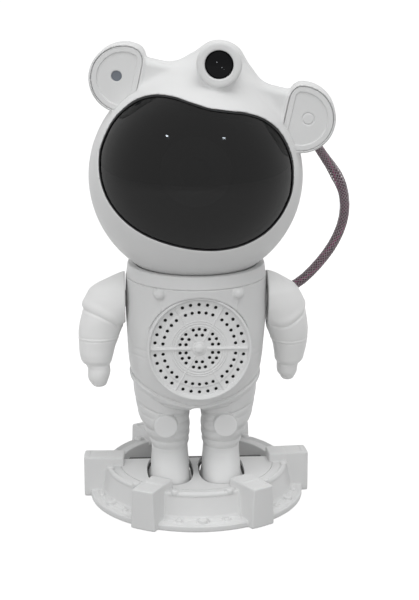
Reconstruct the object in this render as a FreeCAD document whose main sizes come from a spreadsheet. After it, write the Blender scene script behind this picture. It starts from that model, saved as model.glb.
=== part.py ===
"""Galaxy projector night light in the shape of a standing space explorer, on a round stand.

Millimetres, +Z up, front towards -Y, the figure's own left towards +X. The origin is the
middle of the stand's underside.
"""
import FreeCAD, Part
import math
import os

from FreeCAD import Placement, Rotation, Vector

os.makedirs("parts", exist_ok=True)
doc = FreeCAD.newDocument("projector")
sheet = doc.addObject("Spreadsheet::Sheet", "dims")

X_AXIS = Vector(1, 0, 0)
Y_AXIS = Vector(0, 1, 0)
Z_AXIS = Vector(0, 0, 1)
SIDES = {"right": -1, "left": 1}

DIMENSIONS = {
    # stand
    "stand_radius": 52.8, "stand_gap": 0.3, "ledge_top": 3.3, "drum_radius": 44.8,
    "drum_foot": 48.0, "drum_bore": 37.8, "deck_top": 16.0, "deck_thick": 2.0,
    "deck_rear": 5.5, "rim_rise": 0.5, "block_reach": 56.0, "block_start": 36.0,
    "block_foot": 13.1, "block_head": 11.2, "block_top": 20.1, "front_block": 31.0,
    "side_block": 94.0, "rear_block": 152.5, "ring_turn": 1.0, "rear_opening": 46.0,
    "cover_radius": 37.5, "cover_top": 2.3, "pad_radius": 31.0, "pad_thick": 0.9,
    "mat_thick": 0.9, "mat_radius": 35.4, "mat_rear": 12.9,
    "notch_half": 14.5, "notch_front": 24.0, "bead_inner": 47.3, "bead_outer": 49.5,
    # boots and legs
    "leg_middle": 12.6, "figure_shift": -0.9, "slot_play": 1.8, "mat_play": 1.0,
    "mat_stretch": 1.7,
    # shells
    "wall": 2.0,
    # torso and collar
    "torso_top": 113.4, "collar_radius": 33.05, "collar_top": 119.2, "collar_bore": 29.5,
    "plate_radius": 30.7, "plate_low": 111.4, "rim_floor": 1.0, "well_radius": 26.3,
    "well_floor": 111.05, "cup_radius": 20.0, "cup_floor": 104.4,
    "seat_gap": 0.15, "hub_radius": 9.0, "hub_play": 0.05,
    # head
    "ball_height": 161.1, "helmet_radius": 51.0, "helmet_wall": 2.0, "seat_radius": 52.4,
    "head_pan": -5.9, "head_roll": 12.3, "shell_split": -3.5,
    "pad_ring_inner": 51.3, "pad_ring_outer": 52.1, "magnet_radius": 12.0,
    "visor_radius": 50.1, "visor_thick": 2.35, "visor_lap": 1.0,
    "ear_radius": 16.2, "ear_across": 42.2, "ear_up": 39.2, "ear_chord": 33.7,
    "ear_face": 13.0, "ear_back": 1.0, "ear_corner": 5.4, "ear_rim": 1.1, "ear_inset": 3.8,
    "brow_top": 50.3, "brow_front": 12.4,
    "eye_up": 57.0, "eye_front": 27.0, "eye_radius": 10.4, "eye_window": 6.5,
    "eye_straight": 6.5, "eye_taper": 0.27,
    "engine_up": 6.5, "barrel_radius": 16.5, "lens_radius": 6.8,
    # arms
    "shoulder_height": 101.0, "arm_face": 34.45, "pin_radius": 4.0, "pin_play": 0.05,
    "arm_right_swing": 5.0, "arm_left_swing": -5.0,
    # speaker
    "grille_radius": 24.7, "grille_height": 84.5, "grille_front": 33.6, "grille_tilt": 4.2,
    "grille_dish": 2.1, "grille_hole": 0.78, "grille_depth": 9.0,
    # backpack
    "pack_half": 21.0, "pack_rear": 43.0, "pack_bottom": 67.0, "pack_height": 40.0,
    "button_radius": 3.5, "button_pitch": 11.0,
    # hose
    "hose_radius": 2.5, "gland_radius": 4.2, "gland_neck": 2.4,
}


def fill_sheet():
    """Write every driving dimension into a named cell."""
    for row, (alias, value) in enumerate(DIMENSIONS.items(), start=1):
        sheet.set("A%d" % row, alias)
        sheet.set("B%d" % row, str(value))
        sheet.setAlias("B%d" % row, alias)
    doc.recompute()


def dim(alias):
    """Read one driving dimension back from the sheet."""
    return float(sheet.get(alias))


def at(x=0.0, y=0.0, z=0.0, axis=Z_AXIS, turn=0.0):
    """Placement at a point, turned by degrees about an axis."""
    return Placement(Vector(x, y, z), Rotation(axis, turn))


def primitive(kind, name, place=None, **sizes):
    """Add one Part primitive whose sizes are expressions on the sheet."""
    made = doc.addObject("Part::" + kind, name)
    for key, expression in sizes.items():
        made.setExpression(key, str(expression))
    if place is not None:
        made.Placement = place
    return made


def cut(name, base, *tools):
    """Base less one or more tools."""
    tool = tools[0] if len(tools) == 1 else fuse(name + "_tools", *tools)
    made = doc.addObject("Part::Cut", name)
    made.Base = base
    made.Tool = tool
    return made


def fuse(name, *shapes):
    """Join several objects into one."""
    made = doc.addObject("Part::MultiFuse", name)
    made.Shapes = list(shapes)
    return made


def common(name, *shapes):
    """Keep what several objects share."""
    made = doc.addObject("Part::MultiCommon", name)
    made.Shapes = list(shapes)
    return made


def feature(name, shape, place=None):
    """Keep a shape worked out with Part's own functions."""
    made = doc.addObject("Part::Feature", name)
    made.Shape = shape
    if place is not None:
        made.Placement = place
    return made


def tube(name, outer, inner, length, place):
    """Round tube along its placement's Z."""
    solid = primitive("Cylinder", name + "_outer", place, Radius=outer, Height=length)
    bore = primitive("Cylinder", name + "_bore", place, Radius=inner, Height=length)
    return cut(name, solid, bore)


def box_between(name, low, high):
    """Box from its lowest to its highest corner, given as numbers."""
    size = [b - a for a, b in zip(low, high)]
    return primitive("Box", name, at(*low), Length=size[0], Width=size[1], Height=size[2])


def deliver(made, label, place=None):
    """Name a finished sub-part and, if asked, place it."""
    made.Label = label
    if place is not None:
        made.Placement = place * made.Placement
    NODES.append(made)
    return made


NODES = []
fill_sheet()


# ---------------------------------------------------------------- shared outlines

def smooth_loop(points):
    """Closed smooth curve through points in one plane."""
    curve = Part.BSplineCurve()
    curve.interpolate(points, PeriodicFlag=True)
    return curve


def closed_curve(points):
    """Smooth closed wire through points in one plane."""
    return Part.Wire([smooth_loop(points).toShape()])


def oval(height, middle, half_width, front, back, power=2.0, count=16):
    """Level section: half_width each side of middle[0], front towards -Y, back towards +Y."""
    points = []
    for step in range(count):
        angle = 2 * math.pi * step / count
        across = math.copysign(abs(math.cos(angle)) ** (2 / power), math.cos(angle))
        along = math.copysign(abs(math.sin(angle)) ** (2 / power), math.sin(angle))
        reach = back if along > 0 else front
        points.append(Vector(middle[0] + half_width * across, middle[1] + reach * along, height))
    return closed_curve(points)


def loft(sections):
    """Closed solid through level sections."""
    return Part.makeLoft([oval(*section) for section in sections], True, False)


def halves(name, whole, split):
    """Front and rear half of a shell, parted at Y = split."""
    reach = 150
    front_box = box_between(name + "_front_room", (-reach, -reach, -reach), (reach, split, 2 * reach))
    rear_box = box_between(name + "_rear_room", (-reach, split, -reach), (reach, reach, 2 * reach))
    return common(name + "_front", whole, front_box), common(name + "_rear", whole, rear_box)


# ---------------------------------------------------------------- stand

def block_angles():
    """Bearings of the six buttresses, two by two back from the front."""
    middle = dim("ring_turn") - 90
    offsets = [dim(name + "_block") for name in ("front", "side", "rear")]
    return [middle + side * offset for offset in offsets for side in (-1, 1)]


def sector_angles():
    """Bearings of the five sectors between the buttresses."""
    middle = dim("ring_turn") - 90
    inner = (dim("front_block") + dim("side_block")) / 2
    outer = (dim("side_block") + dim("rear_block")) / 2
    return [middle, middle - inner, middle + inner, middle - outer, middle + outer]


def stand_block(index, angle):
    """One of six hollow buttresses around the stand, narrower at the top."""
    start = dim("block_start")
    low = dim("stand_gap")
    top = dim("block_top")
    foot = dim("block_foot") / 2
    head = dim("block_head") / 2
    wall = dim("wall")
    edge = 0.7
    corners = [Vector(start, -foot, low), Vector(start, foot, low), Vector(start, head, top),
               Vector(start, -head, top)]
    section = Part.Face(Part.makePolygon(corners + corners[:1]))
    solid = section.extrude(Vector(dim("block_reach") + 5 - start, 0, 0))
    reach = Part.makeCylinder(dim("block_reach"), top, Vector(0, 0, 0), Z_AXIS)
    solid = solid.common(reach)
    top_edges = [e for e in solid.Edges if all(v.Point.z > top - 0.01 for v in e.Vertexes)]
    solid = solid.makeChamfer(edge, top_edges)
    recess_deep = 0.35
    recess = Part.makeBox(8.6, 2 * head - 3.0, 2 * recess_deep,
                          Vector(44.6, -head + 1.5, top - recess_deep))
    room = Part.makeBox(dim("block_reach") - 6.5 - start, 2 * (head - wall), top - wall,
                        Vector(start + wall, wall - head, 0))
    solid = solid.cut(recess).cut(room)
    return feature("block%d" % index, solid, at(turn=angle))


def ring_piece(inner, outer, low, high, start, end):
    """Piece of a ring between two bearings in degrees."""
    piece = Part.makeCylinder(outer, high - low, Vector(0, 0, low), Z_AXIS, end - start)
    piece = piece.cut(Part.makeCylinder(inner, high - low + 2, Vector(0, 0, low - 1), Z_AXIS))
    piece.rotate(Vector(0, 0, 0), Z_AXIS, start)
    return piece


def stand_studs():
    """Beads and round studs along the ledge and on the rim of the drum."""
    shapes = []
    ledge = dim("ledge_top")
    rim = dim("deck_top") + dim("rim_rise")
    stud_reach = (dim("bead_inner") + dim("bead_outer")) / 2
    rim_reach = 43.7
    for middle in sector_angles():
        for offset, radius, rise in ((-13.5, 1.4, 1.5), (0.0, 2.1, 2.1), (13.5, 1.4, 1.5)):
            angle = math.radians(middle + offset)
            spot = Vector(stud_reach * math.cos(angle), stud_reach * math.sin(angle),
                          ledge - 0.5)
            shapes.append(Part.makeCylinder(radius, rise + 0.5, spot, Z_AXIS))
        for start, end in ((-22, -15.8), (-11.2, -3.2), (3.2, 11.2), (15.8, 22)):
            shapes.append(ring_piece(dim("bead_inner") - 0.6, dim("bead_outer"), ledge - 0.5,
                                     ledge + 1.0, middle + start, middle + end))
        for offset in (-17.0, 17.0):
            angle = math.radians(middle + offset)
            spot = Vector(rim_reach * math.cos(angle), rim_reach * math.sin(angle), rim - 1.0)
            shapes.append(Part.makeCylinder(1.6, 2.2, spot, Z_AXIS))
        shapes.append(ring_piece(43.0, 44.4, rim - 0.4, rim + 0.5, middle - 13.5, middle + 13.5))
    return feature("stand_studs", shapes[0].multiFuse(shapes[1:]))


def make_stand_ring():
    """Drum wall, ledge and six buttresses: one moulding, open at the rear."""
    gap = at(z=dim("stand_gap"))
    ledge = primitive("Cylinder", "ledge_disc", gap, Radius="dims.stand_radius",
                      Height="dims.ledge_top - dims.stand_gap")
    lip = primitive("Cone", "ledge_lip", at(z=dim("ledge_top")), Radius1="dims.stand_radius - 1.6",
                    Radius2="dims.stand_radius - 3.6", Height=0.4)
    drum = primitive("Cone", "drum_disc", gap, Radius1="dims.drum_foot",
                     Radius2="dims.drum_radius", Height="dims.deck_top - dims.stand_gap")
    bevel = primitive("Cone", "drum_bevel", at(z=dim("deck_top")), Radius1="dims.drum_radius",
                      Radius2="dims.drum_radius - dims.rim_rise", Height="dims.rim_rise")
    bore = primitive("Cylinder", "drum_bore", at(z=-1), Radius="dims.drum_bore",
                     Height="dims.deck_top + 4")
    rim_bore = primitive("Cylinder", "rim_bore", at(z=dim("deck_top")),
                         Radius="dims.drum_radius - 2.6", Height=5)
    opening = primitive("Cylinder", "rear_opening", at(z=-1, axis=Z_AXIS,
                        turn=90 + dim("ring_turn") - dim("rear_opening") / 2),
                        Radius="dims.stand_radius + 10",
                        Height=40, Angle="dims.rear_opening")
    hollow = tube("ring_hollow", "dims.drum_radius - 2", "dims.drum_bore + 2",
                  "dims.deck_top - 2", at(z=-0.1))
    ring = cut("open_ring", fuse("ring_solid", ledge, lip, drum, bevel), bore, rim_bore, opening,
               hollow)
    blocks = [stand_block(index, angle) for index, angle in enumerate(block_angles())]
    below_deck = primitive("Cylinder", "below_deck", at(z=-1), Radius="dims.drum_bore",
                           Height="dims.deck_top - dims.deck_thick + 1")
    deliver(cut("stand_ring", fuse("ring_joined", ring, stand_studs(), *blocks), below_deck),
            "stand_ring")


def boot_outline(side, grow, stretch, height, depth):
    """Level outline of one boot, grown outwards, as a solid of the given depth."""
    middle = side * dim("leg_middle") + dim("figure_shift")
    reach = 19.2 + stretch
    section = (height, (middle, -10.2), 9.5 + grow, reach, reach, 2.7)
    return Part.Face(oval(*section)).extrude(Vector(0, 0, depth))


def make_stand_deck():
    """Front deck with a slot for each boot, open to the rear."""
    top = dim("deck_top")
    thick = dim("deck_thick")
    deck = primitive("Cylinder", "deck_disc", at(z=top - thick), Radius="dims.drum_bore",
                     Height="dims.deck_thick")
    tools = [box_between("deck_rear_room", (-60, dim("deck_rear"), 0), (60, 60, 30))]
    for name, side in SIDES.items():
        play = dim("slot_play")
        slot = boot_outline(side, play, play, top - thick - 1, thick + 2)
        tools.append(feature("slot_" + name, slot))
    half = dim("block_head") / 2 + 0.4
    for index, angle in enumerate(block_angles()[:4]):
        notch = primitive("Box", "deck_notch%d" % index,
                          at(turn=angle) * at(dim("block_start"), -half, 0), Length=20,
                          Width=2 * half, Height=30)
        tools.append(notch)
    deliver(cut("stand_deck", deck, *tools), "stand_deck")


def make_boot_mat():
    """Rubber sheet under the deck that closes the play around the boots."""
    low = dim("deck_top") - dim("deck_thick") - dim("mat_thick")
    mat = primitive("Cylinder", "mat_disc", at(z=low), Radius="dims.mat_radius",
                    Height="dims.mat_thick")
    tools = [box_between("mat_rear_room", (-60, dim("mat_rear"), 0), (60, 60, 30))]
    for name, side in SIDES.items():
        hole = boot_outline(side, dim("mat_play"), dim("mat_stretch"), low - 1, 4)
        tools.append(feature("mat_hole_" + name, hole))
    deliver(cut("boot_mat", mat, *tools), "boot_mat")


def notch_box(name):
    """Room cut out of the stand's floor at the rear."""
    half = dim("notch_half")
    return box_between(name, (-half, dim("notch_front"), -5), (half, 70, 30))


def make_stand_floor():
    """Bottom cover that the boots stand on, with its foam pad."""
    cover = primitive("Cylinder", "cover_disc", at(z=dim("stand_gap")), Radius="dims.cover_radius",
                      Height="dims.cover_top - dims.stand_gap")
    recess = primitive("Cylinder", "cover_recess", Radius="dims.pad_radius + 0.1",
                       Height="dims.pad_thick")
    trim = box_between("cover_trim", (-60, dim("notch_front"), -1), (60, 60, 5))
    recess = cut("recess_cut", recess, trim)
    holes = [primitive("Cylinder", "cover_hole%d" % index, at(x, y), Radius=1.6, Height=10)
             for index, (x, y) in enumerate(screw_spots())]
    deliver(cut("stand_cover", cover, recess, notch_box("cover_notch"), *holes), "stand_cover")
    disc = primitive("Cylinder", "pad_disc", Radius="dims.pad_radius", Height="dims.pad_thick")
    trim = box_between("pad_trim", (-60, dim("notch_front") - 0.2, -1), (60, 60, 5))
    heads = [primitive("Cylinder", "pad_hole%d" % index, at(x, y, -1), Radius=3.2, Height=4)
             for index, (x, y) in enumerate(screw_spots())]
    deliver(cut("foam_pad", disc, trim, *heads), "foam_pad")


def screw_spots():
    """Where the four screws come up through the cover into the boots."""
    right = dim("figure_shift") - dim("leg_middle")
    left = dim("figure_shift") + dim("leg_middle")
    return [(right, -20), (right, 0), (left, -20), (left, 0)]


def make_stand_screws():
    """Four screws that hold the boots to the cover."""
    shapes = []
    for x, y in screw_spots():
        head = Part.makeCylinder(2.8, dim("pad_thick") - 0.1, Vector(x, y, 0.1), Z_AXIS)
        shank = Part.makeCylinder(1.5, 7.5, Vector(x, y, dim("pad_thick")), Z_AXIS)
        shapes.append(head.fuse(shank).removeSplitter())
    heads = feature("boot_screws", Part.makeCompound(shapes))
    deliver(heads, "boot_screws")


# ---------------------------------------------------------------- legs and torso

def torso_sections(inset=0.0):
    """Torso from the crotch to the collar seam: round at the top, full at the belly."""
    rows = [(48.6, -0.9, 17.0, 15.0, 14.0, 2.0), (51.5, -0.85, 24.8, 24.5, 20.0, 2.1),
            (58.0, -0.75, 29.4, 30.5, 25.0, 2.2), (68.0, -0.6, 31.9, 33.0, 28.5, 2.3),
            (84.0, -0.3, 33.4, 33.2, 30.0, 2.3), (96.0, -0.1, 34.0, 32.8, 31.0, 2.2),
            (106.0, -0.1, 34.0, 33.2, 32.6, 2.1), (dim("torso_top"), -0.1, 33.9, 33.9, 33.9, 2.0)]
    made = []
    for height, across, half, front, back, power in rows:
        level = height
        if inset and height == rows[0][0]:
            level += inset
        if inset and height == rows[-1][0]:
            level += 1.0
        made.append((level, (across, 0), half - inset, front - inset, back - inset, power))
    return made


def leg_sections(inset=0.0):
    """The right leg with its boot, from the sole up to inside the torso."""
    sole = dim("cover_top")
    rows = [(sole, 12.6, 9.2, -10.2, 18.2, 2.7), (sole + 2.5, 12.6, 9.6, -10.2, 19.2, 2.7),
            (16.0, 12.6, 9.5, -10.2, 19.2, 2.7), (21.0, 12.6, 9.3, -9.4, 16.8, 2.5),
            (26.0, 12.6, 8.9, -8.4, 13.2, 2.3), (29.5, 12.7, 8.9, -7.6, 11.4, 2.2),
            (32.5, 12.9, 9.4, -7.4, 11.8, 2.1), (37.0, 13.7, 10.5, -7.2, 13.4, 2.1),
            (43.0, 14.8, 11.8, -7.0, 15.4, 2.1), (50.0, 15.4, 13.7, -5.5, 17.6, 2.2),
            (58.0, 16.4, 13.6, -4.5, 19.2, 2.2), (66.0, 16.4, 13.4, -4.0, 19.6, 2.2)]
    made = []
    for height, across, half, middle, reach, power in rows:
        level = height + (5.0 if inset and height < 10 else 0.0)
        made.append((level, (-across, middle), half - inset, reach - inset, reach - inset, power))
    return made


def make_legs(torso_solid):
    """Two hollow legs, each in one with its boot; the left is the right one mirrored."""
    outer = loft(leg_sections())
    inner = loft(leg_sections(dim("wall")))
    shell = outer.cut(inner)
    for y in (-20, 0):
        spot = Vector(-dim("leg_middle"), y, dim("cover_top"))
        post = Part.makeCylinder(3.4, 9, spot, Z_AXIS)
        hole = Part.makeCylinder(1.5, 6.2, spot, Z_AXIS)
        shell = shell.fuse(post.common(outer)).cut(hole)
    knee = Part.makeCylinder(5.4, 6)
    knee.Placement = at(-14.4, -19.5, 43.2, X_AXIS, 94)
    shell = shell.fuse(knee.cut(inner)).removeSplitter()
    for name, leg in (("leg_right", shell), ("leg_left", shell.mirror(Vector(0, 0, 0), X_AXIS))):
        leg.translate(Vector(dim("figure_shift"), 0, 0))
        deliver(feature(name, leg.cut(torso_solid)), name)


def grille_axis():
    """Placement of the speaker: its Z points out of the belly, its origin lies on the lip plane."""
    tilt = Rotation(X_AXIS, 90 - dim("grille_tilt"))
    return Placement(Vector(0, -dim("grille_front"), dim("grille_height")), tilt)


def make_torso(torso_solid):
    """Front and rear torso shells with the shoulder bosses and the speaker's round opening."""
    studs = [Part.makeCylinder(2.9, 4.2, Vector(side * 18.4, -26.0, 110.2), -Y_AXIS)
             for side in SIDES.values()]
    outer = feature("torso_outer", torso_solid.fuse(studs))
    inner = feature("torso_inner", loft(torso_sections(dim("wall"))))
    shell = cut("torso_wall", outer, inner)
    bosses = []
    bores = []
    for name, side in SIDES.items():
        start = 28.5 * side
        place = at(start, 0, dim("shoulder_height"), Y_AXIS, 90 * side)
        bosses.append(primitive("Cylinder", "shoulder_boss_" + name, place, Radius=9.5,
                                Height="dims.arm_face - 28.5 - 0.1"))
        place = at(0, 0, dim("shoulder_height"), Y_AXIS, 90 * side)
        bores.append(primitive("Cylinder", "shoulder_bore_" + name, place,
                               Radius="dims.pin_radius + dims.pin_play", Height=40))
    speaker = primitive("Cylinder", "speaker_room", grille_axis() * at(z=-30), Height=40,
                        Radius="dims.grille_radius")
    collar_room = primitive("Cylinder", "collar_room", at(z=dim("torso_top") - 0.4), Height=10,
                            Radius=40)
    pack_room = box_between("pack_room", (-16, 20, 72), (16, 40, 102))
    whole = cut("torso_shell", fuse("torso_joined", shell, *bosses), *bores, speaker, collar_room,
                pack_room)
    front, rear = halves("torso", whole, 0)
    deliver(front, "torso_front")
    deliver(rear, "torso_rear")


# ---------------------------------------------------------------- neck

def make_neck():
    """Collar with its cup, turning seat with its magnet, and the sliding ring under the helmet."""
    top = dim("torso_top") - 0.4
    floor = dim("cup_floor")
    gap = dim("seat_gap")
    rim = primitive("Cone", "collar_rim", at(z=top), Radius1="dims.collar_radius + 0.85",
                    Radius2="dims.collar_radius", Height="dims.collar_top - dims.torso_top + 0.4")
    plate = primitive("Cylinder", "collar_plate", at(z=dim("plate_low")),
                      Radius="dims.plate_radius", Height=top - dim("plate_low"))
    well = primitive("Cylinder", "collar_well", at(z=dim("well_floor") - 1.4),
                     Radius="dims.well_radius + 1.5", Height=top - dim("well_floor") + 1.4)
    well_room = primitive("Cylinder", "well_room", at(z=dim("well_floor")), Height=40,
                          Radius="dims.well_radius")
    cup = primitive("Cylinder", "collar_cup", at(z=floor - 1.8), Radius="dims.cup_radius",
                    Height=dim("well_floor") - floor + 1.7)
    room = primitive("Cylinder", "cup_room", at(z=floor), Radius="dims.cup_radius - 1.6", Height=40)
    shelf = top + dim("rim_floor")
    mouth = primitive("Cylinder", "collar_mouth", at(z=shelf), Radius="dims.collar_bore", Height=40)
    hub_hole = primitive("Cylinder", "hub_hole", at(z=floor - 5), Height=20,
                         Radius="dims.hub_radius + dims.hub_play")
    deliver(cut("collar", fuse("collar_solid", rim, plate, well, cup), room, well_room, mouth,
                hub_hole), "collar")

    seat_low = floor + gap
    body = primitive("Cylinder", "seat_body", at(z=seat_low), Height=shelf + 1 - seat_low,
                     Radius="dims.cup_radius - 2")
    step = primitive("Cylinder", "seat_step", at(z=dim("well_floor") + gap), Height=4,
                     Radius="dims.well_radius - 0.3")
    flange = primitive("Cylinder", "seat_flange", at(z=shelf + gap), Height=20,
                       Radius="dims.collar_bore - 0.3")
    hub = primitive("Cylinder", "seat_hub", at(z=floor - 3.2), Height=4.0,
                    Radius="dims.hub_radius")
    ball = primitive("Sphere", "seat_ball", at(z=dim("ball_height")), Radius="dims.seat_radius")
    above = box_between("seat_above", (-50, -50, dim("collar_top") - 0.4), (50, 50, 220))
    magnet_low = floor + 0.9
    pocket = primitive("Cylinder", "magnet_pocket", at(z=magnet_low), Height=20,
                       Radius="dims.magnet_radius")
    deliver(cut("neck_seat", fuse("seat_solid", body, step, flange, hub), ball, above, pocket),
            "neck_seat")
    magnet = primitive("Cylinder", "neck_magnet", at(z=magnet_low), Radius="dims.magnet_radius",
                       Height=dim("ball_height") - dim("seat_radius") - 0.1 - magnet_low)
    deliver(magnet, "neck_magnet")

    outer = primitive("Sphere", "ring_outer", Radius="dims.pad_ring_outer")
    inner = primitive("Sphere", "ring_inner", Radius="dims.pad_ring_inner")
    band = tube("ring_band", 13.5, 8.0, 20, at(z=-60))
    ring = common("slide_ring", cut("ring_shell", outer, inner), band)
    deliver(ring, "slide_ring", head_place())


def head_place():
    """Placement of the head about the middle of its ball: panned, then leaned to one side."""
    turn = Rotation(Z_AXIS, dim("head_pan")) * Rotation(Y_AXIS, dim("head_roll"))
    return Placement(Vector(0, 0, dim("ball_height")), turn)


# ---------------------------------------------------------------- helmet

VISOR_HALF = [(0, 37.9), (9.0, 38.4), (17.5, 38.6), (26.0, 36.9), (33.6, 32.5), (39.5, 25.9),
              (43.5, 18.1), (45.5, 8.3), (45.0, 1.4), (42.2, -6.7), (36.9, -14.0), (28.5, -20.1),
              (19.0, -23.7), (9.5, -25.3), (0, -25.7)]


def visor_outline(grow):
    """Bean-shaped edge of the visor, grown outwards, as a prism towards -Y."""
    reach = 80
    mirrored = [(-x, z) for x, z in VISOR_HALF[-2:0:-1]]
    edge = [Vector(x, 0, z) for x, z in VISOR_HALF + mirrored]
    curve = smooth_loop(edge)
    grown = []
    for point in edge:
        along = curve.tangent(curve.parameter(point))[0]
        grown.append(point + along.cross(Y_AXIS).normalize() * grow)
    return Part.Face(closed_curve(grown)).extrude(Vector(0, -reach, 0))


def face_ball(radius):
    """Ball whose seam runs down the middle of the face."""
    ball = Part.makeSphere(radius)
    ball.Placement = Placement(Vector(), Rotation(Vector(0, 0, 1), -90))
    return ball


def ear_prism(side, inset, front, back):
    """D-shaped ear block: a circle cut by an upright chord, its corners rounded."""
    disc = Part.makeCylinder(dim("ear_radius") - inset, back - front)
    inward = dim("ear_across") - dim("ear_chord") - inset
    prism = disc.cut(Part.makeBox(60, 60, 80, Vector(-60 - inward, -30, -20)))
    corners = [e for e in prism.Edges if abs(e.Vertexes[0].Point.z - e.Vertexes[-1].Point.z) > 1
               and e.Vertexes[0].Point.x < -inward + 0.1]
    if inset < dim("ear_corner") - 0.3:
        prism = prism.makeFillet(dim("ear_corner") - inset, corners)
    turn = Rotation(X_AXIS, 90)
    prism = prism.transformGeometry(Placement(Vector(dim("ear_across"), back, dim("ear_up")),
                                              turn).toMatrix())
    if side < 0:
        prism = prism.mirror(Vector(0, 0, 0), X_AXIS)
    return prism


def eye_body(grow):
    """The hump on top that holds the star projector: a tapering barrel on a flared foot."""
    radius = dim("eye_radius") - grow
    front = -dim("eye_front") + grow
    bend = dim("eye_straight") - dim("eye_front")
    rear = 3.0
    up = dim("eye_up")
    barrel = Part.makeCylinder(radius, bend - front, Vector(0, front, up), Y_AXIS)
    if not grow:
        lip = [e for e in barrel.Edges if all(abs(v.Point.y - front) < 0.01 for v in e.Vertexes)]
        barrel = barrel.makeFillet(1.4, lip)
    taper = Part.makeCone(radius, radius - dim("eye_taper") * (rear - bend), rear - bend,
                          Vector(0, bend, up), Y_AXIS)
    levels = (41.5, 50.8, 57.6, 64.7 - grow)
    reaches = (28.4 - 1.8 * grow, 20.5 - 1.8 * grow, 12.9 - 1.8 * grow, 5.0 - 0.69 * grow)
    solid = barrel.fuse(taper)
    for index in (0, 1, 2):
        solid = solid.fuse(Part.makeCone(reaches[index], reaches[index + 1],
                                         levels[index + 1] - levels[index],
                                         Vector(0, 1, levels[index]), Z_AXIS))
    return solid


def brow_band(inset):
    """Raised band across the head from ear to ear, under the hump."""
    half = dim("ear_chord") + 2
    front = dim("brow_front") - inset
    deep = front + dim("ear_back") - inset
    band = Part.makeBox(2 * half, deep, 20 - inset, Vector(-half, -front, dim("brow_top") - 20))
    upper = [e for e in band.Edges if all(v.Point.z > dim("brow_top") - inset - 0.01
                                          for v in e.Vertexes) and e.Length > 2 * half - 0.1]
    return band.makeFillet(3.0 - inset, upper)


def make_helmet():
    """Helmet in two shells, with the hump, the brow band and the ear blocks."""
    radius = dim("helmet_radius")
    wall = dim("helmet_wall")
    face = -dim("ear_face")
    back = dim("ear_back")
    ball = Part.makeSphere(radius)
    solid = ball.fuse(eye_body(0)).fuse(brow_band(0))
    hollow = Part.makeSphere(radius - wall).fuse(eye_body(wall)).fuse(brow_band(wall))
    mouths = []
    for side in SIDES.values():
        solid = solid.fuse(ear_prism(side, 0, face, back))
        hollow = hollow.fuse(ear_prism(side, wall, face + wall, back - wall))
        mouths.append(ear_prism(side, dim("ear_rim") - 0.05, face - 1, face + wall).cut(ball))
    shell = solid.cut(hollow).cut(visor_outline(0))
    for mouth in mouths:
        shell = shell.cut(mouth)
    eye_bore = Part.makeCylinder(dim("eye_window") + 0.1, 20,
                                 Vector(0, -dim("eye_front") - 5, dim("eye_up")), Y_AXIS)
    shell = shell.cut(eye_bore)
    whole = feature("helmet_whole", shell)
    front, rear = halves("helmet", whole, dim("shell_split"))
    deliver(front, "helmet_front", head_place())
    deliver(rear, "helmet_rear", head_place())


def along_y(name, radius, start, end, across=0.0, up=0.0):
    """Cylinder along +Y of the head, from Y = start to Y = end."""
    return primitive("Cylinder", name, at(across, start, up, X_AXIS, -90), Radius=radius,
                     Height=end - start)


def make_visor():
    """Smoked dome with a lap behind the helmet's edge, and the black seal around it."""
    radius = dim("visor_radius")
    lap_radius = dim("helmet_radius") - dim("helmet_wall") - 0.05
    joint = 0.6
    dome = face_ball(radius).common(visor_outline(-joint))
    lap = face_ball(lap_radius).common(visor_outline(dim("visor_lap")))
    lap_rear = -11.0
    lap = lap.common(Part.makeBox(2 * radius, radius, 2 * radius,
                                  Vector(-radius, lap_rear - radius, -radius)))
    visor = dome.fuse(lap).cut(face_ball(radius - dim("visor_thick")))
    deliver(feature("visor", visor), "visor", head_place())
    seal = face_ball(radius + 0.5).common(visor_outline(0)).cut(visor_outline(0.05 - joint))
    seal = seal.cut(face_ball(lap_radius + 0.02))
    deliver(feature("visor_seal", seal), "visor_seal", head_place())


def make_ear_plates():
    """Face plate of each ear, and the infrared window in the right one."""
    face = -dim("ear_face")
    wall = dim("helmet_wall")
    ball = Part.makeSphere(dim("helmet_radius") + 0.03)
    sunk = 0.45
    step = 0.5
    spot_radius = 2.5
    for name, side in SIDES.items():
        plate = ear_prism(side, dim("ear_rim"), face + sunk, face + wall).cut(ball)
        plate = plate.cut(ear_prism(side, dim("ear_inset"), face - 1, face + sunk + step))
        spot = Vector(side * (dim("ear_across") + 3.3), face + sunk + step, dim("ear_up") + 0.6)
        if side < 0:
            plate = plate.cut(Part.makeCylinder(spot_radius, 12, spot - Vector(0, 3, 0), Y_AXIS))
            window = Part.makeCylinder(spot_radius - 0.05, 5, spot + Vector(0, 0.7, 0), Y_AXIS)
            deliver(feature("receiver_window", window), "receiver_window", head_place())
        else:
            groove = Part.makeCylinder(2.9, 0.3, spot, Y_AXIS)
            groove = groove.cut(Part.makeCylinder(spot_radius, 0.4, spot, Y_AXIS))
            plate = plate.cut(groove)
        deliver(feature("ear_plate_" + name, plate), "ear_plate_" + name, head_place())


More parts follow.
